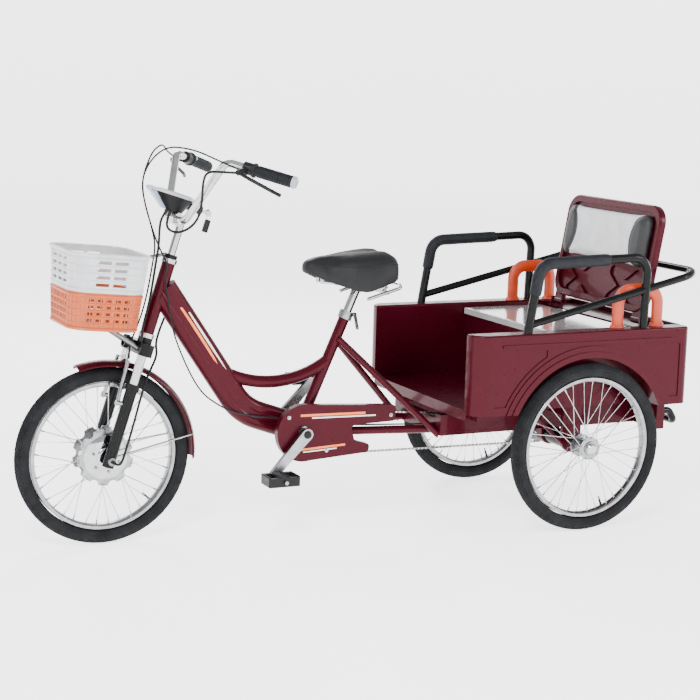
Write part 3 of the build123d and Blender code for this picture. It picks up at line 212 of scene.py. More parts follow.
def moulded(name, low, high, roughness, glow=0.0):
    made = Finish(name, low, roughness)
    made.vary_color(24.0, low, high)
    made.bump(made.noise(700.0, 2.0), 0.06, 0.0005)
    return made.set("Subsurface Weight", glow).material


def saddle_vinyl():
    made = Finish("saddle_vinyl", (0.006, 0.0062, 0.007), 0.46)
    grain = made.node("TexVoronoi", Vector=made.place, Scale=620.0).outputs["Distance"]
    made.bump(grain, 0.25, 0.0006)
    made.bump(made.noise(18.0, 2.0), 0.08, 0.002)
    made.vary_roughness(45.0, 0.5, 0.6)
    return made.shine(0.25).material


def seat_sheet():
    made = Finish("seat_sheet", (0.56, 0.55, 0.56), 0.16)
    made.vary_color(9.0, (0.3, 0.295, 0.305), (0.4, 0.395, 0.405))
    made.bump(made.noise(14.0, 3.0), 0.2, 0.004)
    return made.coat(0.8, 0.1).material


# the backrest's own plane, and the line where its white middle meets the dark bolsters
BACK_LEAN = radians(9.7)
BACK_FOOT = spot(-245.0, 0.0, 600.0)
BACK_UP = Vector((-sin(BACK_LEAN), 0.0, cos(BACK_LEAN)))
BACK_OUT = Vector((cos(BACK_LEAN), 0.0, sin(BACK_LEAN)))
CUSHION_UP = 237.0
WAIST = 148.0
WAIST_CURVE = 0.0052


def waist(up):
    """Half the white middle's width, in millimetres, at a height above the backrest's hinge."""
    return WAIST + WAIST_CURVE * (up - CUSHION_UP) ** 2


def cushion_fabric():
    made = Finish("cushion_fabric", (0.78, 0.79, 0.82), 0.55)
    parts = made.node("SeparateXYZ", Vector=made.place).outputs
    across = made.math("ABSOLUTE", parts["Y"])
    lift = made.math(
        "ADD",
        made.math("MULTIPLY", made.math("SUBTRACT", parts["X"], BACK_FOOT.x), BACK_UP.x),
        made.math("MULTIPLY", made.math("SUBTRACT", parts["Z"], BACK_FOOT.z), BACK_UP.z),
    )
    rise = made.math("SUBTRACT", lift, CUSHION_UP * MM)
    curve = made.math("MULTIPLY", made.math("MULTIPLY", rise, rise), WAIST_CURVE / MM)
    edge = made.math("ADD", curve, WAIST * MM)
    dark = made.ramp(made.math("SUBTRACT", across, edge), 0.0, 1.0, 0.0, 0.001)
    mix = made.tree.nodes.new("ShaderNodeMix")
    mix.data_type = "RGBA"
    made.link(dark, mix.inputs["Factor"])
    made.link(made.ramp(made.noise(20.0), (0.52, 0.525, 0.55), (0.62, 0.625, 0.64)), mix.inputs["A"])
    made.link(made.ramp(made.noise(60.0), (0.006, 0.0063, 0.0075), (0.011, 0.0115, 0.013)), mix.inputs["B"])
    made.link(mix.outputs["Result"], made.shader.inputs["Base Color"])
    weave = made.node("TexVoronoi", Vector=made.place, Scale=900.0).outputs["Distance"]
    return made.bump(weave, 0.18, 0.0005).material


def lamp_glass():
    made = Finish("lamp_glass", (0.3, 0.42, 0.62), 0.08)
    flutes = made.node("TexWave", Vector=made.place, Scale=60.0, Distortion=0.0)
    flutes.bands_direction = "Y"
    made.bump(flutes.outputs["Fac"], 0.35, 0.002)
    return made.set("Transmission Weight", 0.35).coat(0.6, 0.03).material


FINISH = {
    "paint": wine_paint(),
    "black_tube": black_gloss(),
    "chrome": metal("chrome", (0.4, 0.405, 0.415), (0.5, 0.505, 0.515), 0.1, 0.035),
    "alloy": metal("alloy", (0.24, 0.245, 0.255), (0.34, 0.345, 0.355), 0.3, 0.06),
    "steel": metal("steel", (0.15, 0.153, 0.158), (0.23, 0.234, 0.24), 0.35, 0.07),
    "tyre": tyre_rubber(),
    "grip_rubber": rubber("grip_rubber", (0.006, 0.0068, 0.0085), (0.01, 0.0115, 0.015)),
    "black_plastic": black_plastic(),
    "orange_plastic": moulded("orange_plastic", (0.42, 0.07, 0.01), (0.5, 0.09, 0.014), 0.45),
    "white_plastic": moulded("white_plastic", (0.5, 0.505, 0.53), (0.6, 0.6, 0.62), 0.35, 0.1),
    "saddle_vinyl": saddle_vinyl(),
    "seat_sheet": seat_sheet(),
    "cushion_fabric": cushion_fabric(),
    "lamp_lens": lamp_glass(),
    "cable_sleeve": rubber("cable_sleeve", (0.006, 0.0063, 0.007), (0.011, 0.0115, 0.0125)),
}
LOOP_ORANGE = moulded("loop_orange", (0.4, 0.028, 0.002), (0.5, 0.042, 0.003), 0.4)
GREY_CAP = moulded("grey_cap", (0.3, 0.31, 0.33), (0.42, 0.43, 0.45), 0.3)
GREEN_BUTTON = moulded("green_button", (0.03, 0.36, 0.08), (0.05, 0.45, 0.11), 0.35)
STRIPE_ORANGE = moulded("stripe_orange", (0.78, 0.14, 0.02), (0.86, 0.2, 0.03), 0.3)
STRIPE_PALE = moulded("stripe_pale", (0.74, 0.72, 0.68), (0.84, 0.82, 0.78), 0.3)

for subpart in frame["record"]["subparts"]:
    node, slot = subpart["node"], subpart["material_slot"]
    mesh = NODES[node].data
    mesh.materials.clear()
    mesh.materials.append(LOOP_ORANGE if node == "hand_loops" else FINISH[slot])

# mesh building

# the radius where an outline meets its axis
TIP = 0.01


class Shape:
    """A mesh under construction: places are in metres, sizes in millimetres."""

    def __init__(self):
        self.mesh = bmesh.new()
        self.material = 0

    def use(self, material):
        self.material = material
        return self

    def face(self, corners):
        made = self.mesh.faces.new(corners)
        made.material_index = self.material
        made.smooth = True

    def skin(self, rows, around=True, along=False, ends=False):
        """Quads over rows of points. Each row may close on itself, and so may the stack of rows."""
        grid = [[self.mesh.verts.new(point) for point in row] for row in rows]
        for low, high in zip(grid, grid[1:] + grid[:1] if along else grid[1:]):
            count = len(low)
            for index in range(count if around else count - 1):
                after = (index + 1) % count
                self.face((low[index], low[after], high[after], high[index]))
        if ends:
            self.face(grid[0])
            self.face(grid[-1])
        return self

    def turned(self, origin, axis, outline, steps=48, closed=False, squeeze=None):
        """An outline of (along, radius), turned about an axis; squeeze may change a radius by its angle."""
        axis = Vector(axis).normalized()
        side = axis.orthogonal().normalized() if abs(axis.y) < 0.9 else Vector((1.0, 0.0, 0.0))
        other = axis.cross(side)
        rows = []
        for step in range(steps):
            angle = tau * step / steps
            ray = side * cos(angle) + other * sin(angle)
            row = []
            for along, radius in outline:
                if squeeze:
                    radius = squeeze(angle, along, radius)
                row.append(origin + (axis * along + ray * radius) * MM)
            rows.append(row)
        return self.skin(rows, around=closed, along=True)

    def bar(self, start, end, radius, end_radius=None, sides=10):
        length = (end - start).length / MM
        last = radius if end_radius is None else end_radius
        outline = ((0, TIP), (0, radius), (length, last), (length, TIP))
        return self.turned(start, end - start, outline, sides)

    def block(self, centre, forward, left, up):
        """A box from its middle and three half-edges, in metres."""
        square = ((-1, -1), (1, -1), (1, 1), (-1, 1))
        rows = [[centre + up * end + forward * a + left * b for a, b in square] for end in (-1, 1)]
        return self.skin(rows, ends=True)

    def piece(self, name, body, *materials, sharp=35.0, bevel=0.0):
        bmesh.ops.remove_doubles(self.mesh, verts=self.mesh.verts, dist=1e-6)
        bmesh.ops.recalc_face_normals(self.mesh, faces=self.mesh.faces)
        data = bpy.data.meshes.new(name)
        self.mesh.to_mesh(data)
        self.mesh.free()
        data.set_sharp_from_angle(angle=radians(sharp))
        for material in materials:
            data.materials.append(material)
        made = bpy.data.objects.new(name, data)
        bpy.context.scene.collection.objects.link(made)
        if bevel:
            edge = made.modifiers.new("edge", "BEVEL")
            edge.width = bevel * MM
            edge.segments = 2
        if body:
            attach(made, body)
        return made


def table(points, at):
    """Straight-line reading of a short table of (place, value)."""
    for (x0, y0), (x1, y1) in zip(points, points[1:]):
        if at <= x1:
            return y0 + (y1 - y0) * max(0.0, (at - x0) / (x1 - x0))
    return points[-1][1]


def ring(centre, one, other, radius, sides):
    """Points round a circle in the plane of two directions."""
    turns = [tau * step / sides for step in range(sides)]
    return [centre + (one * cos(turn) + other * sin(turn)) * radius * MM for turn in turns]


def heading(line, index):
    """The way a line of points runs at one of them."""
    return (line[min(index + 1, len(line) - 1)] - line[max(index - 1, 0)]).normalized()


def tube_rows(line, radius, sides=10):
    """Rings along a line of points, each turned as little as can be from the one before."""
    rows = []
    side = None
    for index, place in enumerate(line):
        way = heading(line, index)
        side = (way.orthogonal() if side is None else side - way * side.dot(way)).normalized()
        rows.append(ring(place, side, way.cross(side), radius, sides))
    return rows


def rounded(half_width, half_height, corner, steps=8):
    """A rectangle with round corners, as points about its middle."""
    points = []
    for quarter in range(4):
        x = (half_width - corner) * (1 if quarter in (0, 3) else -1)
        y = (half_height - corner) * (1 if quarter < 2 else -1)
        for step in range(steps + 1):
            angle = radians(90 * (quarter + step / steps))
            points.append((x + corner * cos(angle), y + corner * sin(angle)))
    return points


# tyres and wheels

TYRE_MIDDLE = 229.0
TYRE_HALF_WIDTH = 23.5
TYRE_HALF_HEIGHT = 21.0
TYRE_STEPS = 360
# how far round its section the tyre reaches, each way from the crown, in degrees
TYRE_REACH = 146


def tread_depth(turn, lean):
    """The tread's depth in millimetres, at a turn of the wheel and a lean off its crown in degrees."""
    off = abs(lean)
    if off > 68:
        return 0.9 if 84 < off < 90 or 112 < off < 118 else 0.0
    if 17 < off < 25:
        return 1.9
    if off <= 17:
        return 1.4 if (turn + 0.25 * lean) % 6 < 2 else 0.0
    return 2.0 if (turn + 0.35 * off + (3 if lean > 0 else 0)) % 6 < 2 else 0.0


def round_wheel(radius, across, angle):
    """A place about a wheel's centre: out from it and left of it in millimetres, and round it in radians."""
    return Vector((radius * cos(angle), across, radius * sin(angle))) * MM


def tyre(corner):
    node = corner + "_tyre"
    centre = middle(node)
    leans = [-TYRE_REACH + 2 * TYRE_REACH * step / 44 for step in range(45)]
    rows = []
    for step in range(TYRE_STEPS):
        angle = tau * step / TYRE_STEPS
        row = []
        for lean in leans:
            cut = tread_depth(degrees(angle), lean)
            radius = TYRE_MIDDLE + (TYRE_HALF_HEIGHT - cut) * cos(radians(lean))
            across = (TYRE_HALF_WIDTH - cut) * sin(radians(lean))
            row.append(centre + round_wheel(radius, across, angle))
        rows.append(row)
    shape = Shape().skin(rows, around=False, along=True)
    made = shape.piece(node + "_treaded", corner + "_wheel", FINISH["tyre"], sharp=28.0)
    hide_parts(node)


def both_ends(*half):
    """A whole outline of (along, radius), from its half on the right."""
    return half + tuple((-along, radius) for along, radius in reversed(half) if along)


RIM_INNER = RIM_RADIUS - 13
RIM_OUTLINE = both_ends(
    (-11, RIM_RADIUS - 2),
    (-13, RIM_RADIUS),
    (-14, RIM_RADIUS - 1),
    (-14, RIM_RADIUS - 9),
    (-9, RIM_INNER),
    (0, RIM_RADIUS - 14.5),
)
SPOKES_PER_SIDE = 18
# a spoke's lean, in degrees on a flange of 1 mm
SPOKE_CROSS = 1020
# a wheel's finishes, in the order of its material slots
WHEEL_FINISHES = [FINISH[slot] for slot in ("alloy", "chrome", "steel", "black_plastic")]
ALLOY_SLOT, CHROME_SLOT, STEEL_SLOT, DARK_SLOT = range(4)


def lace(shape, centre, flange, flange_y):
    """Crossed spokes with their nipples."""
    for side in SIDES:
        for count in range(SPOKES_PER_SIDE):
            angle = 360 / SPOKES_PER_SIDE * (count + 0.25 * side)
            lean = (SPOKE_CROSS if count % 2 else -SPOKE_CROSS) / flange
            foot, rim = radians(angle + lean), radians(angle)
            low, high = flange - 3, RIM_INNER
            start = centre + round_wheel(low, side * flange_y, foot)
            end = centre + round_wheel(high, side * 3, rim)
            shape.use(CHROME_SLOT).bar(start, end, 1.1, sides=6)
            shape.bar(end + (start - end).normalized() * 13 * MM, end, 1.8, 2.6, sides=6)
            elbow = LEFT * 3.4 * MM
            shape.use(STEEL_SLOT).bar(start - elbow, start + elbow, 2.6, sides=8)


def valve(shape, centre, angle):
    """A rubber valve stem with a bare end, at an angle round the rim."""
    foot, neck, end = (centre + round_wheel(RIM_INNER - down, 0, radians(angle)) for down in (0, 22, 31))
    shape.use(DARK_SLOT).bar(foot, neck, 4.0, 3.0, sides=10)
    shape.use(STEEL_SLOT).bar(neck, end, 2.6, sides=8)


def hexagon(shape, start, end, radius):
    """A nut with six flats and a washer under it."""
    way = (end - start).normalized()
    shape.bar(start, start + way * 1.6 * MM, radius * 1.3, sides=20)
    return shape.bar(start + way * 1.6 * MM, end, radius, sides=6)


def wheel_piece(shape, corner):
    node = corner + "_wheel"
    made = shape.piece(node + "_laced", node, *WHEEL_FINISHES)
    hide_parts(node)


MOTOR_FLANGE = 80.0
MOTOR_FLANGE_Y = 26.0
MOTOR_BOLTS, BOLT_CIRCLE = 6, 39.0
# the hollows in the motor's flange, round places just outside its edge
SCALLOPS, SCALLOP_RADIUS = 9, 14.0
SCALLOP_CIRCLE = MOTOR_FLANGE + 3
MOTOR_OUTLINE = both_ends(
    (-38, 6.2),
    (-38, 20),
    (-36.5, 27),
    (-34.5, 29),
    (-34, 43),
    (-31, 51),
    (-29, 60),
    (-26, 66),
)


def scalloped(side):
    """The motor flange's radius by its angle: lobes for the spoke pairs, with hollows between."""

    def squeeze(angle, along, radius):
        if radius < MOTOR_FLANGE:
            return radius
        start, half = radians(10 + 5 * side), pi / SCALLOPS
        off = (-angle - start + half) % (2 * half) - half
        reach = SCALLOP_CIRCLE * sin(off)
        if abs(reach) >= SCALLOP_RADIUS:
            return radius
        return min(radius, SCALLOP_CIRCLE * cos(off) - sqrt(SCALLOP_RADIUS**2 - reach**2))

    return squeeze


def front_wheel():
    shape = Shape().turned(FRONT_AXLE, LEFT, RIM_OUTLINE, 160, closed=True)
    shape.use(CHROME_SLOT).turned(FRONT_AXLE, LEFT, MOTOR_OUTLINE, 96)
    for side in SIDES:
        low, high = side * MOTOR_FLANGE_Y - 2, side * MOTOR_FLANGE_Y + 2
        outline = ((low, 62), (low, MOTOR_FLANGE), (high, MOTOR_FLANGE), (high, 62))
        shape.use(ALLOY_SLOT).turned(FRONT_AXLE, LEFT, outline, 216, squeeze=scalloped(side))
        for count in range(MOTOR_BOLTS):
            foot = FRONT_AXLE + round_wheel(BOLT_CIRCLE, side * 34, radians(360 / MOTOR_BOLTS * count + 20))
            hexagon(shape.use(STEEL_SLOT), foot, foot + LEFT * side * 4 * MM, 3.6)
    lace(shape, FRONT_AXLE, MOTOR_FLANGE, MOTOR_FLANGE_Y)
    valve(shape, FRONT_AXLE, 225.0)
    wheel_piece(shape, "front")


HUB_FLANGE = 34.0
HUB_FLANGE_Y = 24.0
HALF_SHAFT = 12.5
HUB_OUTLINE = both_ends(
    (-32, HALF_SHAFT),
    (-32, 20),
    (-27, 22),
    (-26, HUB_FLANGE),
    (-22, HUB_FLANGE),
    (-21, 22),
    (-12, 18),
)
CHAIN_Y = 74.0
CHAIN_FRONT = 64.0
CHAIN_REAR = 36.0
CHAIN_PITCH = 12.7
REAR_TEETH = 18
TOOTH = 4.0


def toothed(radius, teeth):
    """A sprocket's radius by its angle."""

    def squeeze(angle, along, given):
        return given if given < radius else radius - TOOTH + TOOTH * abs(cos(angle * teeth / 2)) ** 0.7

    return squeeze


def rear_wheel(side):
    centre = REAR_AXLE + LEFT * side * HALF_TRACK
    shape = Shape().turned(centre, LEFT, RIM_OUTLINE, 160, closed=True)
    shape.turned(centre, LEFT, HUB_OUTLINE, 48)
    inner = REAR_AXLE + LEFT * side * 20 * MM
    shape.use(STEEL_SLOT).bar(inner, centre + LEFT * side * 33 * MM, HALF_SHAFT, sides=24)
    cap = ((0, 16), (5, 16), (9, 12), (10, 0.1))
    shape.use(CHROME_SLOT).turned(centre + LEFT * side * 32 * MM, LEFT * side, cap, 32)
    if side > 0:
        # the chain drives the left wheel alone
        reach = CHAIN_REAR + TOOTH / 2
        sprocket = ((-2, 14), (-2, reach), (2, reach), (2, 14))
        at = REAR_AXLE + LEFT * CHAIN_Y * MM
        shape.use(STEEL_SLOT).turned(at, LEFT, sprocket, 216, squeeze=toothed(reach, REAR_TEETH))
    lace(shape, centre, HUB_FLANGE, HUB_FLANGE_Y)
    valve(shape, centre, 250.0)
    wheel_piece(shape, "rear_" + SIDE_NAMES[side])


for corner in ("front", "rear_left", "rear_right"):
    tyre(corner)
front_wheel()
for side in SIDES:
    rear_wheel(side)

# chain

CRANK = spot(793.0, 0.0, 292.0)
LINK_HALF = 3.4
LINK_WAIST = 2.4


def chain_route():
    """The pins' places round both sprockets, one pitch apart."""
    front, rear = CRANK, REAR_AXLE
    big, small = (CHAIN_FRONT + TOOTH) * MM, (CHAIN_REAR + TOOTH) * MM
    span = hypot(front.x - rear.x, front.z - rear.z)
    slope = atan2(front.z - rear.z, front.x - rear.x)
    spread = acos((big - small) / span)
    run = sqrt(span**2 - (big - small) ** 2)
    front_arc, rear_arc = 2 * (pi - spread), 2 * spread
    total = 2 * run + big * front_arc + small * rear_arc
    count = round(total / (CHAIN_PITCH * MM) / 2) * 2

    def on(centre, radius, angle):
        return Vector((centre.x + radius * cos(angle), CHAIN_Y * MM, centre.z + radius * sin(angle)))

    # over the top from the rear, round the front, back below, round the rear
    over, under = slope + spread, slope - spread
    stretches = (
        (run, lambda along: on(rear, small, over).lerp(on(front, big, over), along / run)),
        (big * front_arc, lambda along: on(front, big, over - along / big)),
        (run, lambda along: on(front, big, under).lerp(on(rear, small, under), along / run)),
        (small * rear_arc, lambda along: on(rear, small, under - along / small)),
    )
    places = []
    for index in range(count):
        along = total * index / count
        for length, place in stretches:
            if along < length:
                break
            along -= length
        places.append(place(along))
    return places


def chain():
    shape = Shape()
    pins = chain_route()
    for index, (start, end) in enumerate(zip(pins, pins[1:] + pins[:1])):
        way = (end - start).normalized()
        across = way.cross(LEFT)
        pin = LEFT * 3.4 * MM
        shape.use(1).bar(start - pin, start + pin, 2.4, sides=8)
        # inner and outer plates take turns
        inset = 2.0 if index % 2 else 3.1
        outline = []
        for count in range(12):
            angle = tau * count / 12
            if abs(cos(angle)) > 0.2:
                hub, half = end if cos(angle) > 0 else start, LINK_HALF
            else:
                hub, half = (start + end) / 2, LINK_WAIST
            outline.append(hub + (way * cos(angle) * LINK_HALF + across * sin(angle) * half) * MM)
        for side in SIDES:
            faces = (LEFT * side * inset * MM, LEFT * side * (inset - 0.8) * MM)
            shape.use(0).skin([[place + face for place in outline] for face in faces], ends=True)
    made = shape.piece("chain_links", "frame", FINISH["steel"], FINISH["chrome"])
    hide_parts("chain")


chain()

# soft parts

CLOTH_FRAMES = 20


def swell(piece, cap, pressure=4.0, voxel=5.0):
    """Stuff a closed shape: remesh it, let it swell as cloth, and hold each point's move within a cap."""
    bpy.context.view_layer.objects.active = piece
    remesh = piece.modifiers.new("remesh", "REMESH")
    remesh.mode = "VOXEL"
    remesh.voxel_size = voxel * MM
    bpy.ops.object.modifier_apply(modifier=remesh.name)
    rest = [vertex.co.copy() for vertex in piece.data.vertices]
    cloth = piece.modifiers.new("cloth", "CLOTH")
    cloth.settings.use_pressure = True
    cloth.settings.uniform_pressure_force = pressure
    cloth.settings.effector_weights.gravity = 0.0
    cloth.settings.quality = 5
    cloth.point_cache.frame_end = CLOTH_FRAMES
    scene = bpy.context.scene
    for step in range(1, CLOTH_FRAMES + 1):
        scene.frame_set(step)
    graph = bpy.context.evaluated_depsgraph_get()
    moved = [vertex.co.copy() for vertex in piece.evaluated_get(graph).data.vertices]
    piece.modifiers.remove(cloth)
    scene.frame_set(1)
    for vertex, start, end in zip(piece.data.vertices, rest, moved):
        shift = end - start
        if shift.length > cap * MM:
            shift *= cap * MM / shift.length
        vertex.co = start + shift
    smooth = piece.modifiers.new("smooth", "SMOOTH")
    smooth.factor = 0.5
    smooth.iterations = 4
    bpy.ops.object.modifier_apply(modifier=smooth.name)
    for polygon in piece.data.polygons:
        polygon.use_smooth = True
    return piece


def finish_soft(piece, body, fill, slot, *nodes):
    fine = piece.modifiers.new("fine", "SUBSURF")
    fine.levels = 1
    fine.render_levels = 1
    bpy.context.view_layer.objects.active = piece
    bpy.ops.object.modifier_apply(modifier=fine.name)
    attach(piece, body)
    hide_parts(*nodes)


def snap(piece, point, lift=0.0):
    """The nearest point of a piece's surface, raised off it by some millimetres."""
    found, place, normal, _ = piece.closest_point_on_mesh(point)
    return place + normal * lift * MM if found else point


def piping(name, piece, points, radius, body):
    """A thin sewn cord laid on a soft piece."""
    line = [snap(piece, point, radius * 0.2) for point in points]
    made = Shape().skin(tube_rows(line, radius, 8), ends=True).piece(name, body, FINISH["saddle_vinyl"])


SEAT_HEAD = spot(626.6, 0.0, 627.9)
# the saddle's cover: ahead of the seat tube's head, and its half width, top or lower edge there
SADDLE_HALF_WIDTH = (
    (-133, 62), (-126, 88), (-110, 101), (-66, 107), (-21, 100), (14, 90),
    (48, 70), (85, 47), (127, 31), (144, 20), (150, 8),
)
SADDLE_TOP = (
    (-133, 146), (-126, 164), (-101, 174), (-75, 176), (-27, 172), (65, 161),
    (128, 156), (144, 148), (150, 132),
)
SADDLE_LOW = (
    (-133, 98), (-126, 94), (-66, 76), (-21, 62), (14, 66), (48, 78),
    (85, 92), (127, 109), (150, 118),
)
SADDLE_FROM, SADDLE_TO = -133, 150
SEAM_LEAN = 34.0


def saddle_point(ahead, lean):
    """A point of the saddle's cover: lean runs from the left skirt's edge, over the top, to the right one."""
    width, top, low = (table(rows, ahead) for rows in (SADDLE_HALF_WIDTH, SADDLE_TOP, SADDLE_LOW))
    across = cos(radians(lean))
    rise = sin(radians(lean))
    left = width * abs(across) ** 0.55 * (1 if across > 0 else -1)
    dip = 7 * exp(-((left / 20) ** 2)) * max(0.0, min(1.0, (20 - ahead) / 90))
    return SEAT_HEAD + Vector((ahead, left, low + (top - low) * rise**0.62 - dip)) * MM


def saddle():
    rows = []
    for step in range(41):
        ahead = SADDLE_FROM + (SADDLE_TO - SADDLE_FROM) * step / 40
        row = [saddle_point(ahead, 180 * part / 28) for part in range(29)]
        # the underside, drawn up inside a thick lip
        low, width = table(SADDLE_LOW, ahead), table(SADDLE_HALF_WIDTH, ahead)
        lip, inner = max(width - 13, width * 0.3), min(low + 30, table(SADDLE_TOP, ahead) - 24)
        for left, up in ((-lip, low + 3), (3 - lip, inner), (lip - 3, inner), (lip, low + 3)):
            row.append(SEAT_HEAD + Vector((ahead, left, up)) * MM)
        rows.append(row)
    made = Shape().skin(rows, ends=True).piece("saddle_cover", None, FINISH["saddle_vinyl"])
    swell(made, 5.0, pressure=3.0)
    finish_soft(made, "frame", 0.8, "saddle_vinyl", "saddle")
    for side in SIDES:
        lean = SEAM_LEAN if side > 0 else 180 - SEAM_LEAN
        line = [saddle_point(ahead, lean) for ahead in range(-128, 141, 8)]
        piping("saddle_seam_" + SIDE_NAMES[side], made, line, 1.5, "frame")
    rear = [saddle_point(-130, lean) for lean in range(int(SEAM_LEAN), int(181 - SEAM_LEAN), 6)]
    piping("saddle_seam_rear", made, rear, 1.5, "frame")


CUSHION_HALF = 228.0
CUSHION_HEIGHT = 168.0
CUSHION_LOW = 5.0
CUSHION_THICK = 26.0
CUSHION_CORNER = 36
# the cushion's edge: out from its back, and in from its outline
CUSHION_EDGE = ((0, 0), (14, 0), (22, 4), (CUSHION_THICK, 14))


def back_point(across, up, out):
    """A point in millimetres from the backrest's hinge: left, up the panel and out from it."""
    return BACK_FOOT + (LEFT * across + BACK_UP * up + BACK_OUT * out) * MM


def cushion():
    rows = []
    for out, inset in CUSHION_EDGE:
        outline = rounded(CUSHION_HALF - inset, CUSHION_HEIGHT / 2 - inset, CUSHION_CORNER - inset)
        rows.append([back_point(x, CUSHION_UP + y, CUSHION_LOW + out) for x, y in outline])
    made = Shape().skin(rows, ends=True).piece("backrest_pad", None, FINISH["cushion_fabric"])
    swell(made, 9.0, pressure=4.0)
    # the back stays flat on the panel, and the cover is drawn in along the two seams
    for vertex in made.data.vertices:
        place = vertex.co - BACK_FOOT
        out, up, across = place.dot(BACK_OUT) / MM, place.dot(BACK_UP) / MM, place.y / MM
        if out < CUSHION_LOW:
            vertex.co += BACK_OUT * (CUSHION_LOW - out) * MM
        elif out > CUSHION_LOW + 12:
            gap = abs(across) - waist(up)
            vertex.co -= BACK_OUT * 6.0 * exp(-((gap / 7.0) ** 2)) * MM
    finish_soft(made, "backrest", 0.7, "cushion_fabric", "backrest_cushion")
    for side in SIDES:
        line = []
        for step in range(25):
            up = CUSHION_UP + (CUSHION_HEIGHT - 6) * (step / 24 - 0.5)
            line.append(back_point(side * waist(up), up, CUSHION_LOW + CUSHION_THICK))
        piping("cushion_seam_" + SIDE_NAMES[side], made, line, 1.6, "backrest")


ARM_Y = 328.0
PAD_ROUTE = ((189.3, 702.2), (174.0, 794.0), (-59.1, 801.6))
PAD_BEND = 48.0


def pad_line(side):
    """The armrest tube's middle line under the pad: a run up, one round bend and a run back."""
    foot, knee, end = (spot(x, side * ARM_Y, z) for x, z in PAD_ROUTE)
    rise, back = (knee - foot).normalized(), (end - knee).normalized()
    turn = rise.angle(back)
    cut = PAD_BEND * MM * sin(turn / 2) / cos(turn / 2)
    start, stop = knee - rise * cut, knee + back * cut
    inward = (back - rise * rise.dot(back)).normalized()
    centre = start + inward * PAD_BEND * MM
    line = [foot + (start - foot) * step / 6 for step in range(6)]
    for step in range(11):
        angle = turn * step / 10
        line.append(centre + (rise * sin(angle) - inward * cos(angle)) * PAD_BEND * MM)
    return line + [stop + (end - stop) * step / 10 for step in range(1, 11)]


def arm_pad(side):
    line = pad_line(side)
    last = len(line) - 1
    rows = []
    for index, place in enumerate(line):
        out = LEFT.cross(heading(line, index)).normalized()
        full = 1.0 - 0.1 * (index == 0) - 0.05 * (index == last)
        row = []
        for count in range(20):
            angle = tau * count / 20
            flat = 17.5 if cos(angle) > 0 else 18.5
            row.append(place + (out * cos(angle) * flat + LEFT * sin(angle) * 18.0) * full * MM)
        rows.append(row)
    made = Shape().skin(rows, ends=True).piece("arm_pad_" + SIDE_NAMES[side], None, FINISH["grip_rubber"])
    swell(made, 3.0, pressure=2.0, voxel=4.5)
    finish_soft(made, "frame", 0.9, "grip_rubber", "armrest_pads")


saddle()
cushion()
for side in SIDES:
    arm_pad(side)

# cables: the solids' own route points, ahead of the steering axis, left of it and up it

REAR_BRAKE = (
    (30, 215, 402), (61, 140, 413), (85, 70, 413), (105, 10, 405), (122, -25, 374),
    (135, -30, 327), (134, -20, 282), (116, 0, 237), (88, 20, 185), (55, 32, 138),
    (20, 34, 104), (13, 32.5, 90), (13, 32.5, 62), (-39, 30, -35), (-69, 30, -90),
    (-139, 27, -169), (-188, 27, -213), (-231, 27, -235), (-317, 27, -255),
)
FRONT_BRAKE = (
    (30, -205, 404), (66, -130, 412), (96, -80, 410), (119, -65, 382), (127, -55, 322),
    (124, -45, 283), (103, -35, 235), (71, -25, 185), (44, -22, 138), (42, -8, 90),
    (38, 10, 10), (38, 18, -50), (44, 26, -100), (50, 30, -140), (47, 40, -172),
    (46, 44, -181),
)
LAMP_LOOM = (
    (56, 15, 243), (66, 17, 215), (63, 20, 186), (50, 19, 142), (47, 24, 106),
    (36, 34, 10), (33, 37, -34), (34, 44, -91), (27, 45, -110), (26, 44, -127.7),
)
LEVER_LEAD = (
    (10, 228, 378), (46, 190, 367), (38, 170, 333), (18, 150, 293), (2, 125, 250),
    (4, 100, 215), (24, 75, 189), (47, 50, 187), (56, 35, 207), (48, 20, 243),
)
MOTOR_LEAD = (
    (-42, -12, -32), (-44, -30, -76), (-44, -30, -124), (-52, -16, -150), (-46, 0, -173),
    (-39, 12, -186), (-23, 42, -216), (-6, 84, -262), (-9, 86, -353), (-9, 88, -424),
    (-4, 100, -452), (5, 112, -463.5), (18.5, 112, -463.5), (18.5, 92, -463.5),
)
# the rear brake's way along the chain stay, from the ground under the rear axle
ALONG_STAY = ((849, 33, 328), (793, 36, 321), (740, 46, 301), (382.3, 98, 296))
SLEEVE = 2.5
LEAD = 3.5
BAR_GRIP_END = (-152, 327, 406)
BAR_BEND = (2, 195, 407)


def along_grip(side, along, out, drop):
    """A point beside one grip: along it from the bar's end, out ahead of it and down from it."""
    end, bend = (head(ahead, side * left, up) for ahead, left, up in (BAR_GRIP_END, BAR_BEND))
    return end + (bend - end).normalized() * along * MM + Vector((out, side * out * 0.9, -drop)) * MM


def from_head(points):
    return [head(*point) for point in points]


def spline_points(points):
    """Points read off a smooth spline that has the route's points as its control points."""
    data = bpy.data.curves.new("route", "CURVE")
    data.dimensions = "3D"
    data.resolution_u = 6
    line = data.splines.new("NURBS")
    line.points.add(len(points) - 1)
    for target, place in zip(line.points, points):
        target.co = (*place, 1.0)
    line.order_u = 3
    line.use_endpoint_u = True
    carrier = bpy.data.objects.new("route", data)
    mesh = bpy.data.meshes.new_from_object(carrier)
    places = [vertex.co.copy() for vertex in mesh.vertices]
    bpy.data.objects.remove(carrier)
    bpy.data.meshes.remove(mesh)
    return places


def cable(name, points, radius, body, *nodes):
    """A cable's sleeve with a thicker boot at each end."""
    line = spline_points(points)
    shape = Shape().skin(tube_rows(line, radius), ends=True)
    for tip, inner in ((line[0], line[4]), (line[-1], line[-5])):
        shape.use(1).bar(tip, tip + (inner - tip).normalized() * 16 * MM, radius + 1.6, radius + 0.4)
    made = shape.piece(name, body, FINISH["cable_sleeve"], FINISH["black_plastic"])
    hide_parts(*nodes)
    return made


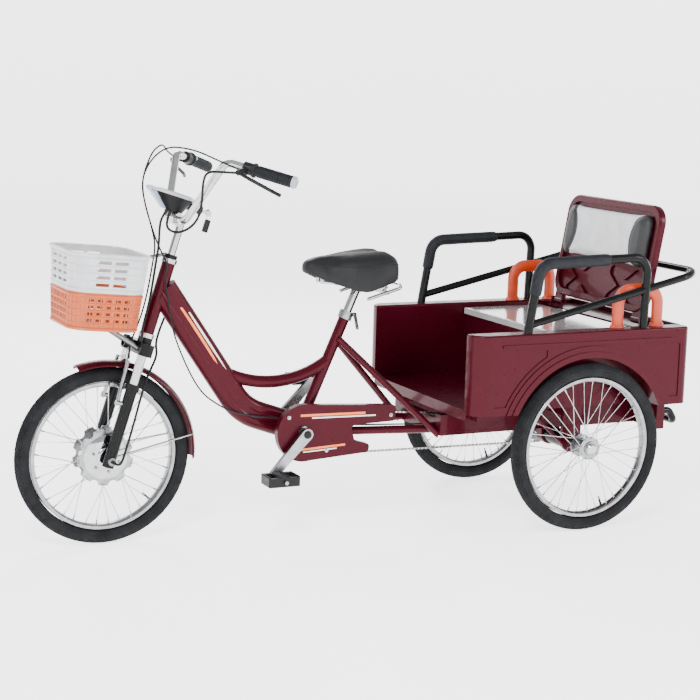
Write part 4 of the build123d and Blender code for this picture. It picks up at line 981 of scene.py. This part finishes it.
def cables():
    along_stay = [spot(*point) for point in ALONG_STAY]
    rear = [along_grip(1, 142, 20, 6), *from_head(REAR_BRAKE), *along_stay]
    made = cable("rear_brake_cable", rear, SLEEVE, None, "steering_cables", "frame_cables")
    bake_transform(made)
    front = [along_grip(-1, 142, 20, 6), *from_head(FRONT_BRAKE)]
    cable("front_brake_cable", front, SLEEVE, "steering", "steering_cables")
    cable("lamp_loom", from_head(LAMP_LOOM), LEAD, "steering", "steering_cables")
    lever = [along_grip(1, 137, 8, 12), *from_head(LEVER_LEAD)]
    cable("lever_lead", lever, LEAD, "steering", "steering_cables")
    motor = from_head(MOTOR_LEAD)
    made = cable("motor_lead", motor, LEAD, None, "steering_cables", "frame_cables")
    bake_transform(made)


cables()

# small fittings


GRIP_FROM, GRIP_TO = -4.0, 122.0
GRIP_BORE, GRIP_RADIUS = 11.3, 16.0
# one rib of a grip: along it, and out from its radius
GRIP_RIB = ((0, -1), (1, 0.6), (4.5, 0.6), (5.5, -1))
GRIP_PITCH = 7.0
CAP_LENGTH = 14.0


def grip(side):
    """A ribbed rubber grip with a flange at its inner end and a cap on the bar's end, paler on the left grip.
    """
    start, end = along_grip(side, GRIP_FROM, 0, 0), along_grip(side, GRIP_TO, 0, 0)
    length = GRIP_TO - GRIP_FROM
    outline = [(CAP_LENGTH, GRIP_BORE), (CAP_LENGTH, GRIP_RADIUS - 1)]
    at = CAP_LENGTH + 2
    while at < length - 14:
        outline += [(at + along, GRIP_RADIUS + out) for along, out in GRIP_RIB]
        at += GRIP_PITCH
    outline += [(length - 8, GRIP_RADIUS - 1), (length - 6, GRIP_RADIUS + 4)]
    outline += [(length, GRIP_RADIUS + 4), (length, GRIP_BORE)]
    shape = Shape().turned(start, end - start, outline, 40)
    cap = ((0, TIP), (0, 10), (2, 14), (5, 16.4), (13, 16.8), (CAP_LENGTH, 15.5), (CAP_LENGTH, GRIP_BORE))
    shape.use(1).turned(start, end - start, cap, 40)
    cap_finish = GREY_CAP if side > 0 else FINISH["black_plastic"]
    made = shape.piece("grip_" + SIDE_NAMES[side], "steering", FINISH["grip_rubber"], cap_finish)
    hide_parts("grips")


POD_AHEAD, POD_TOP = 56.0, 282.0
# the lid and the window in it: up from the pod's top, and half the length there
POD_LID = ((0.3, 66.0), (3, 68.0), (8, 67.0), (11, 60.0))
POD_WINDOW = ((10.8, 38.0), (12.0, 37.0))


def pod_lid():
    """The grey oval lid of the lamp pod, with a dark window, and the key with its fob."""
    shape = Shape()
    for material, levels in enumerate((POD_LID, POD_WINDOW)):
        rows = []
        for rise, half in levels:
            outline = rounded(half, half - 10, half - 16)
            rows.append([head(POD_AHEAD + x, y, POD_TOP + rise) for x, y in outline])
        shape.use(material).skin(rows, ends=True)
    made = shape.piece("pod_lid", "steering", GREY_CAP, FINISH["black_plastic"], sharp=50)
    slot = head(-46, 0, 266.8)
    shape = Shape().block(slot - AHEAD * 8 * MM, AHEAD * 8 * MM, LEFT * 1.2 * MM, UP_AXIS * 4 * MM)
    bow = ((-1.5, TIP), (-1.5, 9.0), (-0.8, 10.5), (0.8, 10.5), (1.5, 9.0), (1.5, TIP))
    shape.turned(slot - AHEAD * 22 * MM, LEFT, bow, 24)
    loop = ring(slot - (AHEAD * 27 + UP_AXIS * 9) * MM, AHEAD * 7, UP_AXIS * 9, 1.0, 20)
    shape.skin(tube_rows(loop + loop[:1], 0.9, 6), ends=True)
    fob = slot + (AHEAD * -28 + UP_AXIS * -36) * MM
    shape.use(1).block(fob, AHEAD * 8 * MM, LEFT * 3.5 * MM, UP_AXIS * 18 * MM)
    made = shape.piece("key_and_fob", "steering", FINISH["chrome"], FINISH["black_plastic"], bevel=1.0)


def switch():
    """The throttle's switch housing on the right bar, with its green button."""
    start, end = along_grip(-1, GRIP_TO + 1, 0, 0), along_grip(-1, GRIP_TO + 9, 0, 0)
    housing = ((0, GRIP_BORE), (0, 16), (1.5, 18), (6.5, 18), (8, 16), (8, GRIP_BORE))
    shape = Shape().turned(start, end - start, housing, 32)
    shape.use(1).bar(along_grip(-1, 110, -10, -3), along_grip(-1, 110, -14, -4.5), 6.0, 4.6, 20)
    made = shape.piece("throttle_switch", "steering", FINISH["black_plastic"], GREEN_BUTTON)


BASKET_FLOOR = head(156.0, 0.0, -123.0)
BASKET_TILT = radians(5.0)
BASKET_AHEAD = Vector((cos(BASKET_TILT), 0.0, sin(BASKET_TILT)))
BASKET_RISE = Vector((-sin(BASKET_TILT), 0.0, cos(BASKET_TILT)))
BASKET_HEIGHT = 208.0
BASKET_DEPTH, BASKET_WIDTH = 194, 230
BASKET_FLARE = 30
BASKET_CORNER = 50
# beads round the basket's two halves: height, thickness and how far they stand out
WHITE_BEADS = (
    (BASKET_HEIGHT - 2, 5.0, 0.5),
    (112, 3.0, 0.0),
    *((height, 1.5, 0.2) for height in (136, 156, 176, 196)),
)
ORANGE_BEADS = ((5, 5.0, 0.2), *((height, 2.2, 0.2) for height in (20, 38, 56, 74)), (96, 4.0, 0.2))
BAR_SPACING = 13


def basket_ring(height, grow):
    """Points round the basket at a height above its floor, some millimetres out from its wall."""
    flare = BASKET_FLARE * height / BASKET_HEIGHT
    depth, width = BASKET_DEPTH + flare, BASKET_WIDTH + flare * 1.2
    outline = rounded(depth / 2 + grow, width / 2 + grow, BASKET_CORNER + grow, 6)
    return [BASKET_FLOOR + (BASKET_AHEAD * x + LEFT * y + BASKET_RISE * height) * MM for x, y in outline]


def bead(shape, height, radius, grow):
    """A round bead right round the basket."""
    line = basket_ring(height, grow)
    rows = []
    for index, place in enumerate(line):
        way = (line[(index + 1) % len(line)] - line[index - 1]).normalized()
        out = way.cross(BASKET_RISE).normalized()
        rows.append(ring(place, out, out.cross(way), radius, 8))
    shape.skin(rows, along=True)


def basket():
    """A thick rim, a band where the two halves meet, thin rows between, and upright bars."""
    shape = Shape()
    for height, radius, grow in WHITE_BEADS:
        bead(shape, height, radius, grow)
    for low, high in list(zip(basket_ring(110, 0.3), basket_ring(BASKET_HEIGHT - 4, 0.3)))[3::7]:
        shape.bar(low, high, 2.2)
    made = shape.piece("basket_rim", "steering", FINISH["white_plastic"])
    shape = Shape()
    for height, radius, grow in ORANGE_BEADS:
        bead(shape, height, radius, grow)
    low, high = basket_ring(4, 0.4), basket_ring(98, 0.4)
    for start, end, after, top in zip(low, high, low[1:] + low[:1], high[1:] + high[:1]):
        count = max(1, round((after - start).length / MM / BAR_SPACING))
        for step in range(count):
            share = step / count
            shape.bar(start.lerp(after, share), end.lerp(top, share), 1.7, sides=6)
    made = shape.piece("basket_rows", "steering", FINISH["orange_plastic"])


COVER_FACE = 88.0
# the stripes on the chain cover: from x and z to x and z, and half their width
COVER_STRIPES = (
    ("cover_stripe_orange", ((600, 340, 806, 344, 3.5), (663, 250, 812, 243, 3.0))),
    ("cover_stripe_pale", ((566, 331, 770, 335, 2.0), (690, 241, 796, 236, 1.6))),
)
# the stripes on the beam: off its upper lobe's middle, half their width, and from and to along it
BEAM_STRIPES = (
    ("beam_stripe_orange", -9.0, 5.0, 70, 270),
    ("beam_stripe_pale", 3.0, 3.0, 95, 300),
)
BEAM_LOBE = 22.0
LOBE_OFFSET = 19


def stripe_piece(shape, name):
    made = shape.piece(name, "frame", STRIPE_ORANGE if "orange" in name else STRIPE_PALE)


def stripes():
    """Plain stripes on the chain cover and on the beam's sides, where the photo has decals."""
    for name, lines in COVER_STRIPES:
        shape = Shape()
        for x0, z0, x1, z1, half in lines:
            start, end = spot(x0, COVER_FACE + 0.25, z0), spot(x1, COVER_FACE + 0.25, z1)
            way = (end - start) / 2
            rise = Vector((-way.z, 0.0, way.x)).normalized() * half * MM
            shape.block((start + end) / 2, way, LEFT * 0.25 * MM, rise)
        stripe_piece(shape, name)
    beam_top, beam_low = head(-5, 0, 29), spot(953, 0, 352)
    along = (beam_low - beam_top).normalized()
    across = LEFT.cross(along).normalized()
    for name, shift, wide, start, end in BEAM_STRIPES:
        shape = Shape()
        for side in SIDES:
            rows = []
            for step in range(13):
                share = step / 12
                taper = sin(pi * min(1.0, 0.12 + share * 0.88)) ** 0.5
                middle_line = beam_top + along * (start + (end - start) * share) * MM
                row = []
                for edge in (-1, 0, 1):
                    off = shift + edge * wide * taper
                    out = sqrt(max(0.0, BEAM_LOBE**2 - off**2)) + 0.3
                    row.append(middle_line + (across * (LOBE_OFFSET + off) + LEFT * side * out) * MM)
                rows.append(row)
            shape.skin(rows, around=False)
        stripe_piece(shape, name)


FENDER_RADIUS, FENDER_HALF_WIDTH = 257, 31
# where the fender starts ahead of the wheel's top, and how far it runs back, in degrees
FENDER_START, FENDER_SWEEP = 17.0, 111.4


def fender_edges():
    """The rolled edges of the front fender."""
    shape = Shape()
    for side in SIDES:
        line = []
        for step in range(49):
            angle = radians(FENDER_START - FENDER_SWEEP * step / 48)
            ray = Vector((sin(angle), 0.0, cos(angle)))
            line.append(FRONT_AXLE + (ray * FENDER_RADIUS + LEFT * side * FENDER_HALF_WIDTH) * MM)
        shape.skin(tube_rows(line, 2.0, 8), ends=True)
    made = shape.piece("fender_edges", "steering", FINISH["paint"])


def fender_stays():
    """The bare wire stays that hold the fender's rear end to the axle."""
    wheelbase = (FRONT_AXLE.x - REAR_AXLE.x) / MM
    shape = Shape()
    for side in SIDES:
        shape.bar(spot(wheelbase - 256, side * 29, 300), spot(wheelbase - 10, side * 69.7, 258), 2.9)
    made = shape.piece("fender_stays", "steering", FINISH["chrome"])


def dome(shape, place, way, radius):
    """A domed screw head on its washer."""
    washer = ((0, TIP), (0, radius * 1.35), (1, radius * 1.35))
    screw = ((1.2, radius), (3.4, radius * 0.8), (4.4, radius * 0.35), (4.5, TIP))
    shape.turned(place, way, washer + screw, 20)


def screws():
    shape = Shape()
    for x, z in ((516, 328), (722, 236), (842, 340)):
        dome(shape, spot(x, COVER_FACE, z), LEFT, 4.0)
    made = shape.piece("cover_screws", "frame", FINISH["chrome"])


CRANK_LENGTH = 152.0
CRANK_ANGLE = radians(-47.5)
PEDAL_Y = 160.0


def crank_fittings():
    """The caps on the crank's ends, and the teeth on both faces of the pedals."""
    shape = Shape()
    for side in SIDES:
        cap = ((0, TIP), (0, 12.0), (3, 11.0), (4, 9.0), (4.2, TIP))
        shape.turned(CRANK + LEFT * side * 112.2 * MM, LEFT * side, cap, 24)
    made = shape.piece("crank_caps", "crank", FINISH["black_plastic"])
    arm = Vector((cos(CRANK_ANGLE), 0.0, sin(CRANK_ANGLE))) * CRANK_LENGTH + LEFT * PEDAL_Y
    for side in SIDES:
        body = SIDE_NAMES[side] + "_pedal"
        tip = CRANK + arm * side * MM
        shape = Shape()
        for face in SIDES:
            for ahead in (-44, -13, 13, 44):
                for along in range(-28, 29, 14):
                    place = tip + Vector((ahead, along, face * 13.8)) * MM
                    shape.block(place, Vector((1.8, 0, 0)) * MM, LEFT * 4 * MM, Vector((0, 0, 0.8)) * MM)
        made = shape.piece(body + "_teeth", body, FINISH["black_plastic"])


for side in SIDES:
    grip(side)
pod_lid()
switch()
basket()
stripes()
fender_edges()
fender_stays()
screws()
crank_fittings()

# floor, light and camera

BOWL_RADIUS = 14.0
BOWL_CURVE = 5.0


def floor():
    """A white studio bowl: a flat floor that curves up into a wall all round."""
    outline = [(0.0, 0.00001), (0.0, BOWL_RADIUS)]
    for step in range(1, 13):
        angle = radians(90 * step / 12)
        outline.append((BOWL_CURVE * (1 - cos(angle)), BOWL_RADIUS + BOWL_CURVE * sin(angle)))
    bowl = Shape().turned(Vector(), (0, 0, 1), [(up / MM, out / MM) for up, out in outline], 64)
    made = Finish("floor_white", (0.95, 0.95, 0.95), 0.8)
    made.vary_color(3.0, (0.94, 0.94, 0.945), (0.97, 0.97, 0.97))
    made.shine(0.0).set("Emission Color", (1.0, 1.0, 1.0, 1.0)).set("Emission Strength", 2.3)
    bowl.piece("floor", None, made.material)


def area_light(name, place, aim, size, watts):
    data = bpy.data.lights.new(name, "AREA")
    data.size = size
    data.energy = watts
    lamp = bpy.data.objects.new(name, data)
    lamp.location = place
    lamp.rotation_euler = (Vector(aim) - Vector(place)).to_track_quat("-Z", "Y").to_euler()
    bpy.context.scene.collection.objects.link(lamp)


def studio():
    world = bpy.data.worlds.new("studio")
    world.use_nodes = True
    sky = world.node_tree.nodes["Background"].inputs
    sky["Color"].default_value = (0.97, 0.98, 1.0, 1.0)
    sky["Strength"].default_value = 0.9
    bpy.context.scene.world = world
    area_light("key", (2.6, 3.2, 4.2), (0.0, 0.0, 0.5), 1.4, 230.0)
    area_light("fill", (-3.6, 3.0, 2.4), (0.0, 0.0, 0.5), 1.2, 90.0)
    area_light("back", (-0.5, -4.0, 3.2), (0.0, 0.0, 0.6), 1.4, 120.0)


# the camera, as fitted to the photo's wheels and box
CAMERA_PLACE = spot(2782.6, 4507.1, 1348.7)
CAMERA_RIGHT = Vector((-0.90272, 0.42931, 0.02803))
CAMERA_UP = Vector((-0.04594, -0.16095, 0.98589))
LENS_MM = 88.62


def camera():
    data = bpy.data.cameras.new("camera")
    data.sensor_width = 36.0
    data.lens = LENS_MM
    shot = bpy.data.objects.new("camera", data)
    back = CAMERA_RIGHT.cross(CAMERA_UP)
    turn = Matrix((CAMERA_RIGHT, CAMERA_UP, back)).transposed().to_4x4()
    shot.matrix_world = Matrix.Translation(CAMERA_PLACE) @ turn
    bpy.context.scene.collection.objects.link(shot)
    bpy.context.scene.camera = shot


floor()
studio()
camera()
